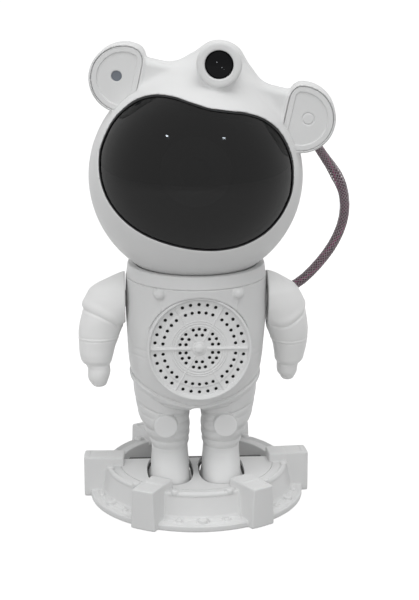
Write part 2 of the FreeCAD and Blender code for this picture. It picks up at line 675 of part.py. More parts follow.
def make_light_engine():
    """Bracket, barrel, lens, nebula disc with its motor, lamps and heat sink."""
    up = dim("engine_up")
    back = dim("shell_split") - 0.1
    front = -26.0
    bracket_disc = along_y("bracket_disc", "dims.helmet_radius - 2.3", back - 2, back)
    posts = [along_y("board_post%d" % index, 2.2, back - 0.1, back + 6, x, z)
             for index, (x, z) in enumerate(((-19, 20), (19, 20), (-19, -20), (19, -20)))]
    windows = [box_between("bracket_low", (-30, back - 4, -60), (30, back + 2, -32)),
               box_between("bracket_high", (-26, back - 4, 30), (26, back + 2, 60)),
               along_y("bracket_bore", "dims.barrel_radius - 2", back - 4, back + 1, 0, up)]
    deliver(cut("engine_bracket", fuse("bracket_solid", bracket_disc, *posts), *windows),
            "engine_bracket", head_place())
    barrel = along_y("barrel_solid", "dims.barrel_radius", front, back - 2, 0, up)
    room = along_y("barrel_room", "dims.barrel_radius - 2", front + 1.6, 0, 0, up)
    hole = along_y("barrel_hole", "dims.lens_radius + 0.03", front - 4, 0, 0, up)
    deliver(cut("engine_barrel", barrel, room, hole), "engine_barrel", head_place())
    glass = Part.makeCylinder(dim("lens_radius"), 3.0, Vector(0, front - 0.4, up), Y_AXIS)
    dome = Part.makeSphere(8.6, Vector(0, front + 5.5, up))
    half = Part.makeBox(40, 20, 40, Vector(-20, front - 19.9, up - 20))
    lens = glass.fuse(dome.common(half))
    deliver(feature("projection_lens", lens.removeSplitter()), "projection_lens", head_place())
    disc = along_y("nebula_glass", 13.6, -21.0, -19.6, 0, up)
    hub = along_y("nebula_hub", 2.6, -19.7, -16.4, 0, up)
    bore = along_y("nebula_bore", 1.0, -20.2, -10, 0, up)
    deliver(cut("nebula_disc", fuse("nebula_solid", disc, hub), bore), "nebula_disc",
            head_place())
    deliver(along_y("motor_shaft", 1.0, -20.2, -10.2, 0, up), "motor_shaft", head_place())
    deliver(along_y("motor_can", 7.9, -10.1, 1.4, 0, up), "disc_motor", head_place())
    board = along_y("lamp_plate", "dims.barrel_radius - 2.1", -13.6, -12.4, 0, up)
    lamps = [along_y("lamp%d" % index, 2.0, -14.8, -13.5, 7.6 * math.cos(index * math.pi / 2),
                     up + 7.6 * math.sin(index * math.pi / 2)) for index in range(4)]
    hole = along_y("lamp_hole", 1.6, -20, 0, 0, up)
    deliver(cut("lamp_board", fuse("lamp_solid", board, *lamps), hole), "lamp_board",
            head_place())
    sink = along_y("sink_solid", "dims.barrel_radius - 2.1", -12.4, -3.6, 0, up)
    bore = along_y("sink_bore", 7.9, -10.1, 5, 0, up)
    hole = along_y("sink_hole", 1.6, -20, 5, 0, up)
    grooves = [tube("sink_groove%d" % index, inner + 0.9, inner, 3.2,
                    at(0, -6.7, up, X_AXIS, -90)) for index, inner in enumerate((9.0, 10.8, 12.4))]
    deliver(cut("heat_sink", sink, bore, hole, *grooves), "heat_sink", head_place())
    board_face = back + 6
    board = box_between("head_board_plate", (-24, board_face, -24), (24, board_face + 1.4, 24))
    gap = along_y("head_board_gap", 9.5, board_face - 2, board_face + 2, 0, up)
    chips = [box_between("head_chip%d" % index, (low[0], board_face + 1.3, low[1]),
                         (high[0], board_face + 1.4 + tall, high[1]))
             for index, (low, high, tall) in enumerate((((-20, -16), (-10, -6), 1.9),
                                                        ((8, -20), (18, -12), 3.0),
                                                        ((-4, -21), (4, -15), 2.4)))]
    deliver(cut("head_board", fuse("head_board_solid", board, *chips), gap), "head_board",
            head_place())


def make_star_projector():
    """Laser module, its holder and the black window at the front of the hump."""
    up = dim("eye_up")
    front = -dim("eye_front")
    flange = along_y("laser_flange", "dims.eye_radius - 2.05", front + 3.6, front + 6.0, 0, up)
    sleeve = along_y("laser_sleeve", 7.3, front + 5.9, front + 9.5, 0, up)
    bore = along_y("laser_sleeve_bore", 5.3, front, front + 30, 0, up)
    deliver(cut("laser_holder", fuse("laser_holder_solid", flange, sleeve), bore),
            "laser_holder", head_place())
    deliver(along_y("laser_module", 5.3, front + 3.6, front + 15.6, 0, up), "laser_module",
            head_place())
    deliver(along_y("star_window", "dims.eye_window", front + 0.6, front + 2.4, 0, up),
            "star_window", head_place())


def make_seat_plate():
    """Steel plate in the bottom of the helmet that the neck magnet holds."""
    radius = 14.0
    inner = dim("helmet_radius") - dim("helmet_wall")
    low = -math.sqrt(inner ** 2 - radius ** 2) + 0.02
    plate = primitive("Cylinder", "seat_plate", at(z=low), Radius=radius, Height=1.6)
    deliver(plate, "seat_plate", head_place())


# ---------------------------------------------------------------- arms

ARM_ROWS = {
    "right": [(57.6, 47.7, 2.4, 2.6), (59.3, 47.7, 3.9, 4.1), (62.0, 47.9, 5.1, 5.4),
              (65.3, 47.6, 5.5, 6.0), (67.6, 47.9, 5.7, 6.1), (70.6, 48.6, 7.2, 7.5),
              (77.3, 48.4, 8.8, 9.0), (85.2, 47.0, 10.3, 10.4), (93.0, 42.6, 13.2, 12.0),
              (99.2, 38.6, 16.4, 12.9), (104.0, 36.2, 16.8, 12.8), (108.0, 34.9, 14.2, 11.2),
              (111.5, 34.2, 8.2, 8.0), (114.0, 34.0, 2.4, 3.0)],
    "left": [(57.6, 45.5, 2.4, 2.6), (59.4, 45.5, 3.6, 3.9), (62.0, 45.3, 4.9, 5.2),
             (65.4, 45.4, 5.3, 5.8), (68.6, 46.0, 6.7, 7.0), (76.4, 46.2, 8.4, 8.7),
             (84.9, 44.9, 10.2, 10.4), (93.0, 41.5, 12.4, 11.9), (99.5, 37.6, 15.2, 12.8),
             (104.0, 35.4, 15.2, 12.6), (107.5, 34.6, 13.3, 11.6), (111.0, 34.1, 8.0, 8.0),
             (113.8, 33.9, 2.6, 3.2)]}


def arm_solid(name, side):
    """One arm with its mitten, hanging, its flat face at the shoulder."""
    solid = loft([(height, (side * across, 0), half, reach, reach, 2.0)
                  for height, across, half, reach in ARM_ROWS[name]])
    face = dim("arm_face")
    room = Part.makeBox(2 * face, 80, 200, Vector(-face, -40, 0))
    solid = solid.cut(room)
    pin = Part.makeCylinder(dim("pin_radius"), face - 27.6,
                            Vector(side * 27.6, 0, dim("shoulder_height")), X_AXIS * side)
    neck = Part.makeCylinder(dim("pin_radius") - 1.2, 1.4,
                             Vector(side * 26.4, 0, dim("shoulder_height")), X_AXIS * side)
    return solid.fuse(pin).fuse(neck).removeSplitter()


def swing(name):
    """Placement that swings one arm about its shoulder pin; forward is positive."""
    lift = dim("shoulder_height")
    turn = Rotation(X_AXIS, -dim("arm_%s_swing" % name))
    return Placement(Vector(0, 0, lift), turn) * Placement(Vector(0, 0, -lift), Rotation())


def make_arms():
    """Arms on their shoulder pins, each kept by a clip inside the torso."""
    for name, side in SIDES.items():
        deliver(feature("arm_" + name, arm_solid(name, side)), "arm_" + name, swing(name))
        clip = Part.makeCylinder(6.4, 1.2, Vector(side * 26.4, 0, dim("shoulder_height")),
                                 X_AXIS * side)
        bore = Part.makeCylinder(dim("pin_radius") - 1.2, 3,
                                 Vector(side * 26.0, 0, dim("shoulder_height")), X_AXIS * side)
        deliver(feature("shoulder_clip_" + name, clip.cut(bore)), "shoulder_clip_" + name,
                swing(name))


# ---------------------------------------------------------------- speaker

def ring_holes(radius, counts, pitch):
    """Centres of the sound holes of one ring: `counts` in each of six sectors."""
    spots = []
    for sector in range(6):
        for index in range(counts):
            angle = math.radians(90 + 60 * sector + pitch * (index - (counts - 1) / 2))
            spots.append(Vector(radius * math.cos(angle), radius * math.sin(angle), -8))
    return spots


def make_grille():
    """Dished speaker cover with ninety sound holes in six sectors between ribs."""
    radius = dim("grille_radius")
    dish = -dim("grille_dish")
    body = Part.makeCylinder(radius, dim("grille_depth"), Vector(0, 0, -dim("grille_depth")))
    lip = [e for e in body.Edges if all(abs(v.Point.z) < 0.01 for v in e.Vertexes)]
    body = body.makeFillet(0.5, lip)
    body = body.cut(Part.makeCone(radius - 1.9, radius - 1.0, -dish + 0.01, Vector(0, 0, dish)))
    body = body.cut(Part.makeCylinder(radius - 2, dim("grille_depth") + dish - 1.8,
                                      Vector(0, 0, -dim("grille_depth"))))
    step = Part.makeCylinder(18.4, 0.35, Vector(0, 0, dish))
    body = body.fuse(step)
    for ridge in (10.9, 12.2, 13.2):
        band = Part.makeCylinder(ridge + 0.22, 0.3, Vector(0, 0, dish + 0.3))
        body = body.fuse(band.cut(Part.makeCylinder(ridge - 0.22, 2, Vector(0, 0, dish))))
    boss = Part.makeCone(4.6, 4.1, 0.9, Vector(0, 0, dish))
    dome = Part.makeSphere(3.0, Vector(0, 0, dish - 0.6))
    ribs = []
    for index in range(6):
        tall, wide = (1.0, 1.1) if index % 3 == 0 else (0.5, 0.7)
        rib = Part.makeBox(radius - 6.5, wide, tall, Vector(4.0, -wide / 2, dish))
        rib.rotate(Vector(0, 0, 0), Z_AXIS, 60 * index)
        ribs.append(rib)
    body = body.multiFuse(ribs + [boss, dome.common(Part.makeCylinder(3, 4, Vector(0, 0, dish)))])
    spots = (ring_holes(21.05, 5, 10.9) + ring_holes(17.25, 5, 10.9)
             + ring_holes(9.4, 3, 17.5) + ring_holes(6.55, 2, 25.0))
    holes = [Part.makeCylinder(dim("grille_hole"), 10, spot) for spot in spots]
    body = body.cut(Part.makeCompound(holes))
    deliver(feature("speaker_grille", body), "speaker_grille", grille_axis())


def make_speaker():
    """Basket, magnet and moving cone behind the grille."""
    flange = Part.makeCylinder(22.3, 1.6, Vector(0, 0, -5.6))
    basket = Part.makeCone(12.0, 20.6, 10.4, Vector(0, 0, -16.0)).fuse(flange)
    room = Part.makeCone(11.0, 19.6, 10.45, Vector(0, 0, -15.0))
    hole = Part.makeCylinder(7.2, 30, Vector(0, 0, -25))
    mouth = Part.makeCylinder(19.4, 3, Vector(0, 0, -5.7))
    deliver(feature("speaker_basket", basket.cut(room).cut(hole).cut(mouth)), "speaker_basket",
            grille_axis())
    magnet = Part.makeCylinder(14.0, 8.0, Vector(0, 0, -24.0))
    groove = Part.makeCylinder(6.9, 5.5, Vector(0, 0, -21.4)).cut(
        Part.makeCylinder(5.2, 6, Vector(0, 0, -21.5)))
    deliver(feature("speaker_magnet", magnet.cut(groove)), "speaker_magnet", grille_axis())
    cone = Part.makeCone(6.6, 17.5, 5.2, Vector(0, 0, -10.6))
    cone = cone.cut(Part.makeCone(6.0, 16.9, 5.21, Vector(0, 0, -10.0)))
    former = Part.makeCylinder(6.4, 8.5, Vector(0, 0, -18.5)).cut(
        Part.makeCylinder(5.8, 9, Vector(0, 0, -18.6)))
    cap = Part.makeSphere(9.5, Vector(0, 0, -16.9)).cut(Part.makeSphere(8.9, Vector(0, 0, -16.9)))
    cap = cap.common(Part.makeCylinder(6.3, 10, Vector(0, 0, -10.4)))
    deliver(feature("speaker_cone", cone.fuse(former).fuse(cap)), "speaker_cone", grille_axis())


# ---------------------------------------------------------------- backpack

BUTTON_SPOTS = {"button_power": (-1, 1), "button_light": (1, 1), "button_volume_down": (-1, -1),
                "button_volume_up": (1, -1)}


def button_spot(column, row):
    """Across and up of one button on the backpack."""
    pitch = dim("button_pitch")
    return column * pitch * 0.64, 91.0 + row * pitch / 2


def make_backpack(torso_solid):
    """Backpack shell with its buttons, board, port and screws."""
    half = dim("pack_half")
    rear = dim("pack_rear")
    low = dim("pack_bottom")
    wall = dim("wall")
    solid = Part.makeBox(2 * half, rear - 18, dim("pack_height"), Vector(-half, 18, low))
    edges = [e for e in solid.Edges if any(v.Point.y > rear - 0.1 for v in e.Vertexes)]
    solid = solid.makeFillet(4.0, edges)
    room = Part.makeBox(2 * (half - wall), rear - wall - 17, dim("pack_height") - 2 * wall,
                        Vector(wall - half, 17, low + wall))
    shell = solid.cut(room)
    screws = []
    for x in (-15.6, 15.6):
        for z in (low + 6, low + dim("pack_height") - 6):
            post = Part.makeCylinder(2.8, rear - wall - 17.9, Vector(x, 18, z), Y_AXIS)
            shell = shell.fuse(post)
            hole = Part.makeCylinder(1.1, 12, Vector(x, rear - 12, z), Y_AXIS)
            head = Part.makeCylinder(2.1, 2, Vector(x, rear - 1.4, z), Y_AXIS)
            shell = shell.cut(hole).cut(head)
            shank = Part.makeCylinder(1.1, 9.0, Vector(x, rear - 10.4, z), Y_AXIS)
            screws.append(shank.fuse(Part.makeCylinder(2.05, 1.0, Vector(x, rear - 1.4, z),
                                                       Y_AXIS)).removeSplitter())
    for name, (column, row) in BUTTON_SPOTS.items():
        x, z = button_spot(column, row)
        shell = shell.cut(Part.makeCylinder(dim("button_radius") + 0.12, 10, Vector(x, 38, z),
                                            Y_AXIS))
        cap = Part.makeCylinder(dim("button_radius"), 4.0, Vector(x, rear - 3.0, z), Y_AXIS)
        crown = [e for e in cap.Edges if all(v.Point.y > rear + 0.9 for v in e.Vertexes)]
        cap = cap.makeFillet(0.6, crown)
        flange = Part.makeCylinder(dim("button_radius") + 1.0, 1.0, Vector(x, rear - 3.3, z),
                                   Y_AXIS)
        stem = Part.makeCylinder(1.4, 1.4, Vector(x, rear - 4.2, z), Y_AXIS)
        deliver(feature(name, cap.fuse(flange).fuse(stem).removeSplitter()), name)
    port_hole = Part.makeBox(9.3, 3.5, 6, Vector(-4.65, 36.95, low - 1))
    shell = shell.cut(port_hole).cut(torso_solid)
    exit_spot, inward = body_exit()
    shell = shell.cut(Part.makeCylinder(dim("gland_neck"), 14, exit_spot, inward))
    deliver(feature("backpack", shell), "backpack")
    deliver(feature("pack_screws", Part.makeCompound(screws)), "pack_screws")

    board = Part.makeBox(25.0, 1.6, 33.0, Vector(-12.5, 35.4, low + 3))
    for name, (column, row) in BUTTON_SPOTS.items():
        x, z = button_spot(column, row)
        board = board.fuse(Part.makeBox(4.4, 1.3, 4.4, Vector(x - 2.2, 36.9, z - 2.2)))
    for x, z, width, tall, deep in ((-6, 78, 7, 7, 1.2), (6, 79, 6, 4, 1.6), (0, 100, 10, 3, 2.0)):
        board = board.fuse(Part.makeBox(width, deep, tall, Vector(x - width / 2, 35.45 - deep,
                                                                  z - tall / 2)))
    deliver(feature("control_board", board.removeSplitter()), "control_board")
    port = Part.makeBox(9.0, 3.2, 7.4, Vector(-4.5, 37.0, low + 0.2))
    slot = Part.makeBox(8.2, 2.4, 6.4, Vector(-4.1, 37.4, low - 0.1))
    tongue = Part.makeBox(6.6, 0.7, 6.0, Vector(-3.3, 38.25, low + 0.8))
    deliver(feature("usb_port", port.cut(slot).fuse(tongue).removeSplitter()), "usb_port")


# ---------------------------------------------------------------- hose

BODY_EXIT = (25.0, 31.5, 94.0)
HOSE_ROUTE = [BODY_EXIT, (38.0, 32.5, 93.0), (52.5, 31.5, 98.0), (63.5, 29.5, 109.5),
              (71.6, 27.3, 122.0), (75.6, 25.0, 135.0), (74.8, 22.5, 148.0), (69.2, 20.0, 159.0),
              (62.0, 16.0, 169.0), (56.5, 9.5, 177.5), (52.8, 1.0, 183.5)]


def rounded_path(points):
    """Straight runs joined by tangent arcs, each as large as its two runs allow."""
    spots = [Vector(*point) for point in points]
    edges = []
    start = spots[0]
    for before, corner, after in zip(spots, spots[1:], spots[2:]):
        come = (corner - before).normalize()
        leave = (after - corner).normalize()
        shorter = min((corner - before).Length, (after - corner).Length)
        half_turn = come.getAngle(leave) / 2
        reach = 0.45 * shorter
        radius = reach / math.tan(half_turn)
        print("hose corner turns %.0f degrees, radius %.1f" % (math.degrees(2 * half_turn), radius))
        into = corner - come * reach
        out = corner + leave * reach
        middle_way = (leave - come).normalize()
        centre = corner + middle_way * (radius / math.cos(half_turn))
        middle = centre - middle_way * radius
        edges.append(Part.LineSegment(start, into).toShape())
        edges.append(Part.Arc(into, middle, out).toShape())
        start = out
    edges.append(Part.LineSegment(start, spots[-1]).toShape())
    return Part.Wire(edges)


def body_exit():
    """Where the hose leaves the backpack's gland, and the direction back into the gland."""
    exit_spot = Vector(*HOSE_ROUTE[0])
    return exit_spot, (exit_spot - Vector(*HOSE_ROUTE[1])).normalize()


def make_hose():
    """Braided hose from the backpack to the back of the left ear, with a gland at each end."""
    path = rounded_path(HOSE_ROUTE)
    radius = dim("hose_radius")
    heading = Vector(*HOSE_ROUTE[1]) - Vector(*HOSE_ROUTE[0])
    section = Part.Wire([Part.makeCircle(radius, Vector(*HOSE_ROUTE[0]), heading)])
    tube_solid = path.makePipeShell([section], True, False)
    expected = math.pi * radius ** 2 * path.Length
    print("hose length %.1f, volume %.0f of %.0f" % (path.Length, tube_solid.Volume, expected))
    deliver(feature("hose", tube_solid), "hose")
    exit_spot, inward = body_exit()
    wide = dim("gland_radius")
    cone = Part.makeCone(radius + 0.7, wide, 5.0, exit_spot, inward)
    cone = cone.cut(Part.makeBox(20, 80, 80, Vector(dim("pack_half") - 20, 0, 60)))
    neck = Part.makeCylinder(dim("gland_neck"), 8.0, exit_spot, inward)
    deliver(feature("body_gland", cone.fuse(neck).removeSplitter()), "body_gland")
    end = Vector(*HOSE_ROUTE[-1])
    onward = (end - Vector(*HOSE_ROUTE[-2])).normalize()
    head_gland = Part.makeCone(radius + 0.7, wide, 7.5, end, onward)
    ear = ear_prism(1, 0, -dim("ear_face"), dim("ear_back"))
    ear.Placement = head_place() * ear.Placement
    deliver(feature("head_gland", head_gland.cut(ear)), "head_gland")


# ---------------------------------------------------------------- assembly

def export():
    """Check every object, then write each sub-part to its own file."""
    doc.recompute()
    for made in doc.Objects:
        if "Invalid" in made.State or "Error" in made.State:
            raise RuntimeError("%s failed: %s" % (made.Name, made.State))
    bad = [made.Label for made in NODES if made.Shape.isNull() or not made.Shape.isValid()
           or not made.Shape.Solids]
    if bad:
        raise RuntimeError("no valid shape: " + ", ".join(bad))
    for made in NODES:
        made.Shape.exportStep("parts/%s.step" % made.Label)
        box = made.Shape.BoundBox
        print("%-20s %8.0f mm3  solids %d  z %.1f..%.1f" % (made.Label, made.Shape.Volume,
              len(made.Shape.Solids), box.ZMin, box.ZMax))


make_stand_ring()
make_stand_deck()
make_boot_mat()
make_stand_floor()
make_stand_screws()
torso = loft(torso_sections())
make_legs(torso)
make_torso(torso)
make_neck()
make_helmet()
make_visor()
make_ear_plates()
make_light_engine()
make_star_projector()
make_seat_plate()
make_arms()
make_grille()
make_speaker()
make_backpack(torso)
make_hose()
export()
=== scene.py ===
import math
from functools import reduce

import bpy
import numpy as np
from mathutils import Euler, Matrix, Vector


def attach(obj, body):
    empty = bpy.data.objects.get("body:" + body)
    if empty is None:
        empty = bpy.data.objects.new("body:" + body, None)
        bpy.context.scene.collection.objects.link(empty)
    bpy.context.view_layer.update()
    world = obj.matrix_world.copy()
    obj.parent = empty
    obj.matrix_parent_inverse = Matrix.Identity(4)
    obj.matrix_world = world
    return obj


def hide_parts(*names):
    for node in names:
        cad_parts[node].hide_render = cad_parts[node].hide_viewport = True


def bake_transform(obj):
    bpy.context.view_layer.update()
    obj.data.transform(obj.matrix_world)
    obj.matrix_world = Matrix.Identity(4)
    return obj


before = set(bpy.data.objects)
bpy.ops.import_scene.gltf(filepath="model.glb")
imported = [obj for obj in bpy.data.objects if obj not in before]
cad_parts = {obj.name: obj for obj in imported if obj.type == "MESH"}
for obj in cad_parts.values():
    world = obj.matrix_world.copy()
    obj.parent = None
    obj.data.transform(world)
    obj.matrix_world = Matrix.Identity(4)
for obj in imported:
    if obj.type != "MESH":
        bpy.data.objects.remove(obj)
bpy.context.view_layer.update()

MM = 0.001
SHELL = "white_shell"
bpy.context.scene.view_settings.view_transform = "Standard"


def in_metres(*numbers):
    return tuple(number * MM for number in numbers)


def shift(x, y, z):
    return Matrix.Translation(in_metres(x, y, z))


def add_object(name, data):
    made = bpy.data.objects.new(name, data)
    bpy.context.scene.collection.objects.link(made)
    return made


def unit(vectors):
    return vectors / np.linalg.norm(vectors, axis=-1, keepdims=True)


# ---------- camera

CAMERA_SPOT = (-36.6, -749.1, 300.9)
CAMERA_PITCH = 15.025
CAMERA_YAW = 3.3
CAMERA_LENS = 95.71


def make_camera():
    """The photograph's view: 0.75 m in front, looking 15 degrees down."""
    data = bpy.data.cameras.new("photo_camera")
    data.sensor_width = 36.0
    data.lens = CAMERA_LENS
    data.clip_start = 0.05
    data.clip_end = 20.0
    camera = add_object("photo_camera", data)
    camera.location = in_metres(*CAMERA_SPOT)
    camera.rotation_euler = Euler((math.radians(90 - CAMERA_PITCH), 0, math.radians(-CAMERA_YAW)))
    bpy.context.scene.camera = camera


make_camera()


# ---------- materials

class Nodes:
    """A material's node tree, built with short calls."""

    def __init__(self, name):
        self.material = bpy.data.materials.new(name)
        self.material.use_nodes = True
        self.tree = self.material.node_tree
        self.shader = self.tree.nodes["Principled BSDF"]

    def add(self, kind, **values):
        node = self.tree.nodes.new(kind)
        for key, value in values.items():
            if key in node.inputs:
                node.inputs[key].default_value = value
            else:
                setattr(node, key, value)
        return node

    def link(self, source, target):
        self.tree.links.new(source, target)

    def feed(self, socket, source):
        """Drives one socket of the shader."""
        self.link(source, self.shader.inputs[socket])

    def set(self, **values):
        for key, value in values.items():
            self.shader.inputs[key.replace("_", " ")].default_value = value

    def add_placed(self, kind, **values):
        """A node that reads the piece's own coordinates."""
        node = self.add(kind, **values)
        self.link(self.add("ShaderNodeTexCoord").outputs["Object"], node.inputs["Vector"])
        return node

    def noise(self, scale, detail=3.0, rough=0.5):
        node = self.add_placed("ShaderNodeTexNoise", Scale=scale, Detail=detail, Roughness=rough)
        return node.outputs["Fac"]

    def ramp(self, source, stops):
        node = self.add("ShaderNodeValToRGB")
        elements = node.color_ramp.elements
        while len(elements) < len(stops):
            elements.new(0.5)
        for element, (spot, colour) in zip(elements, stops):
            element.position = spot
            element.color = (*colour, 1)
        self.link(source, node.inputs["Fac"])
        return node.outputs["Color"]

    def spread(self, source, low, high):
        node = self.add("ShaderNodeMapRange", **{"To Min": low, "To Max": high})
        self.link(source, node.inputs["Value"])
        return node.outputs["Result"]

    def bump(self, height, distance, strength=1.0, after=None):
        node = self.add("ShaderNodeBump", Strength=strength, Distance=distance)
        self.link(height, node.inputs["Height"])
        if after is not None:
            self.link(after, node.inputs["Normal"])
        return node.outputs["Normal"]


def plastic(name, colour, rough=0.45, fleck=0.012, grain=0.00002):
    """Moulded plastic: faint mottling, uneven sheen and a fine spark-eroded grain."""
    made = Nodes(name)
    low = tuple(max(0.0, part - fleck) for part in colour)
    high = tuple(min(1.0, part + fleck) for part in colour)
    made.feed("Base Color", made.ramp(made.noise(38.0, 4.0, 0.6), [(0.3, low), (0.7, high)]))
    made.feed("Roughness", made.spread(made.noise(120.0, 3.0), rough - 0.05, rough + 0.07))
    fine = made.bump(made.noise(2600.0, 2.0), grain)
    made.feed("Normal", made.bump(made.noise(70.0, 2.0), 0.00012, 0.35, fine))
    made.set(IOR=1.48)
    return made.material


def metal(name, colour, rough, stretch=(1, 1, 40)):
    """Metal with fine scratches along one direction."""
    made = Nodes(name)
    made.set(Metallic=1.0, Base_Color=(*colour, 1))
    mapping = made.add_placed("ShaderNodeMapping", Scale=stretch)
    scratch = made.add("ShaderNodeTexNoise", Scale=220.0, Detail=4.0)
    made.link(mapping.outputs["Vector"], scratch.inputs["Vector"])
    made.feed("Roughness", made.spread(scratch.outputs["Fac"], rough - 0.08, rough + 0.12))
    made.feed("Normal", made.bump(scratch.outputs["Fac"], 0.00004))
    return made.material


def glass(name, colour, alpha, rough=0.03, ior=1.5, coat=0.0):
    """Tinted, partly see-through gloss with faint smears."""
    made = Nodes(name)
    made.set(Base_Color=(*colour, 1), Alpha=alpha, IOR=ior, Coat_Weight=coat,
             Coat_Roughness=0.02)
    made.feed("Roughness", made.spread(made.noise(55.0, 5.0, 0.65), rough, rough + 0.035))
    return made.material


def film(name):
    """Nebula disc: clouds of blue, violet and clear on glass."""
    made = Nodes(name)
    cloud = made.noise(160.0, 8.0, 0.62)
    stops = [(0.35, (0.05, 0.07, 0.2)), (0.5, (0.35, 0.15, 0.5)), (0.62, (0.5, 0.7, 0.9))]
    made.feed("Base Color", made.ramp(cloud, stops))
    made.set(Alpha=0.8, IOR=1.5)
    made.feed("Roughness", made.spread(made.noise(300.0), 0.04, 0.12))
    return made.material


def board(name):
    """Green solder mask with darker tracks."""
    made = Nodes(name)
    brick = made.add_placed("ShaderNodeTexBrick", Scale=260.0, Color1=(0.02, 0.16, 0.06, 1),
                            Color2=(0.02, 0.12, 0.05, 1), Mortar=(0.05, 0.25, 0.1, 1))
    made.feed("Base Color", brick.outputs["Color"])
    made.feed("Roughness", made.spread(made.noise(400.0), 0.25, 0.4))
    return made.material


def thread(name, colour, other):
    """Braid yarn: fine filaments with a slight change of colour along them."""
    made = Nodes(name)
    made.feed("Base Color", made.ramp(made.noise(900.0, 3.0), [(0.35, colour), (0.65, other)]))
    made.feed("Roughness", made.spread(made.noise(1500.0), 0.5, 0.8))
    made.feed("Normal", made.bump(made.noise(5200.0, 2.0), 0.00003))
    made.set(Sheen_Weight=0.3, Sheen_Roughness=0.4)
    return made.material


FINISH = {
    "white_shell": plastic("white_abs", (0.74, 0.742, 0.74), 0.42),
    "smoked_visor": glass("smoked_mirror", (0.004, 0.004, 0.004), 0.82, 0.02, 1.36),
    # Black rubber for the visor bead; on boot_mat the same black is painted shade, a sheet that
    # stands in for the dark inside the deep boot slots.
    "black_seal": plastic("black_rubber_and_slot_shade", (0.012, 0.012, 0.013), 0.5, 0.004),
    "black_glass": glass("black_window", (0.003, 0.003, 0.004), 1.0, 0.03, 1.2),
    "dark_plastic": plastic("dark_abs", (0.03, 0.03, 0.031), 0.5, 0.006),
    "clear_lens": glass("clear_acrylic", (0.85, 0.9, 0.95), 0.45, 0.02, 1.49, 1.0),
    "nebula_film": film("nebula_film"),
    "steel": metal("zinc_steel", (0.6, 0.6, 0.61), 0.3),
    "heat_sink": metal("cast_aluminium", (0.72, 0.73, 0.75), 0.4, (1, 1, 1)),
    "magnet": metal("nickel_magnet", (0.55, 0.54, 0.52), 0.18, (1, 1, 1)),
    "circuit_board": board("solder_mask"),
    "foam": plastic("black_foam", (0.03, 0.03, 0.03), 0.85, 0.01, 0.0002),
    "braid": thread("grey_yarn", (0.26, 0.225, 0.24), (0.4, 0.34, 0.365)),
    "grey_keys": plastic("key_silicone", (0.5, 0.51, 0.52), 0.55),
    "cone_paper": plastic("cone_paper", (0.02, 0.02, 0.02), 0.8, 0.006, 0.0001),
    "low_friction": plastic("acetal", (0.72, 0.72, 0.7), 0.35),
    "receiver": glass("receiver_window", (0.12, 0.14, 0.17), 1.0, 0.15, 1.5, 0.6),
}


def paint(obj, material):
    obj.data.materials.clear()
    obj.data.materials.append(material)


# ---------- meshes

def mesh_piece(name, points, faces, slot, body, place=None):
    """A piece from points in mm, its faces all with the same number of corners or a list."""
    mesh = bpy.data.meshes.new(name)
    points = np.asarray(points, float) * MM
    if isinstance(faces, np.ndarray):
        count, corners = faces.shape
        mesh.vertices.add(len(points))
        mesh.vertices.foreach_set("co", points.astype(np.float32).ravel())
        mesh.loops.add(count * corners)
        mesh.loops.foreach_set("vertex_index", faces.astype(np.int32).ravel())
        mesh.polygons.add(count)
        mesh.polygons.foreach_set("loop_start", np.arange(count, dtype=np.int32) * corners)
        mesh.update(calc_edges=True)
    else:
        mesh.from_pydata(points.tolist(), [], faces)
    mesh.validate()
    if place is not None:
        mesh.transform(place)
    mesh.polygons.foreach_set("use_smooth", np.ones(len(mesh.polygons), bool))
    mesh.update()
    obj = add_object(name, mesh)
    paint(obj, FINISH[slot])
    if body:
        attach(obj, body)
    return obj


def ring_faces(rings, around):
    """Faces of a skin over rings of points, one ring after another, capped at both ends."""
    faces = []
    for low in range(0, (rings - 1) * around, around):
        for k in range(around):
            n = (k + 1) % around
            faces.append((low + k, low + n, low + around + n, low + around + k))
    faces.append(tuple(range(around))[::-1])
    faces.append(tuple(range((rings - 1) * around, rings * around)))
    return faces


def cell_points(grid, cells):
    """Middle of the edge crossings of each cell, in cell units from the grid's first point."""
    offsets = np.array([[c & 1, c >> 1 & 1, c >> 2 & 1] for c in range(8)])
    values = np.stack([grid[tuple((cells + o).T)] for o in offsets], axis=1).astype(float)
    total = np.zeros((len(cells), 3))
    count = np.zeros((len(cells), 1))
    for low in range(8):
        for axis in range(3):
            if offsets[low][axis]:
                continue
            a = values[:, low]
            b = values[:, low + (1 << axis)]
            crossed = (a < 0) != (b < 0)
            share = np.where(crossed, a / np.where(crossed, a - b, 1.0), 0.0)
            spot = np.tile(offsets[low].astype(float), (len(cells), 1))
            spot[:, axis] = share
            total += spot * crossed[:, None]
            count += crossed[:, None]
    return cells + total / count


def net_faces(inside, number):
    """One four-cornered face round each grid edge that crosses the surface."""
    faces = []
    for axis in range(3):
        right, up = (axis + 1) % 3, (axis + 2) % 3
        first = tuple(slice(0, -1) if k == axis else slice(None) for k in range(3))
        second = tuple(slice(1, None) if k == axis else slice(None) for k in range(3))
        spots = np.argwhere(inside[first] != inside[second])
        keep = np.ones(len(spots), bool)
        for k in (right, up):
            keep &= (spots[:, k] > 0) & (spots[:, k] < inside.shape[k] - 1)
        spots = spots[keep]
        back, down = np.eye(3, dtype=int)[[right, up]]
        ring = [spots - back - down, spots - down, spots, spots - back]
        quad = np.stack([number[tuple(corner.T)] for corner in ring], axis=1)
        outward = inside[tuple(spots.T)]
        quad[~outward] = quad[~outward][:, ::-1]
        faces.append(quad)
    return np.concatenate(faces)


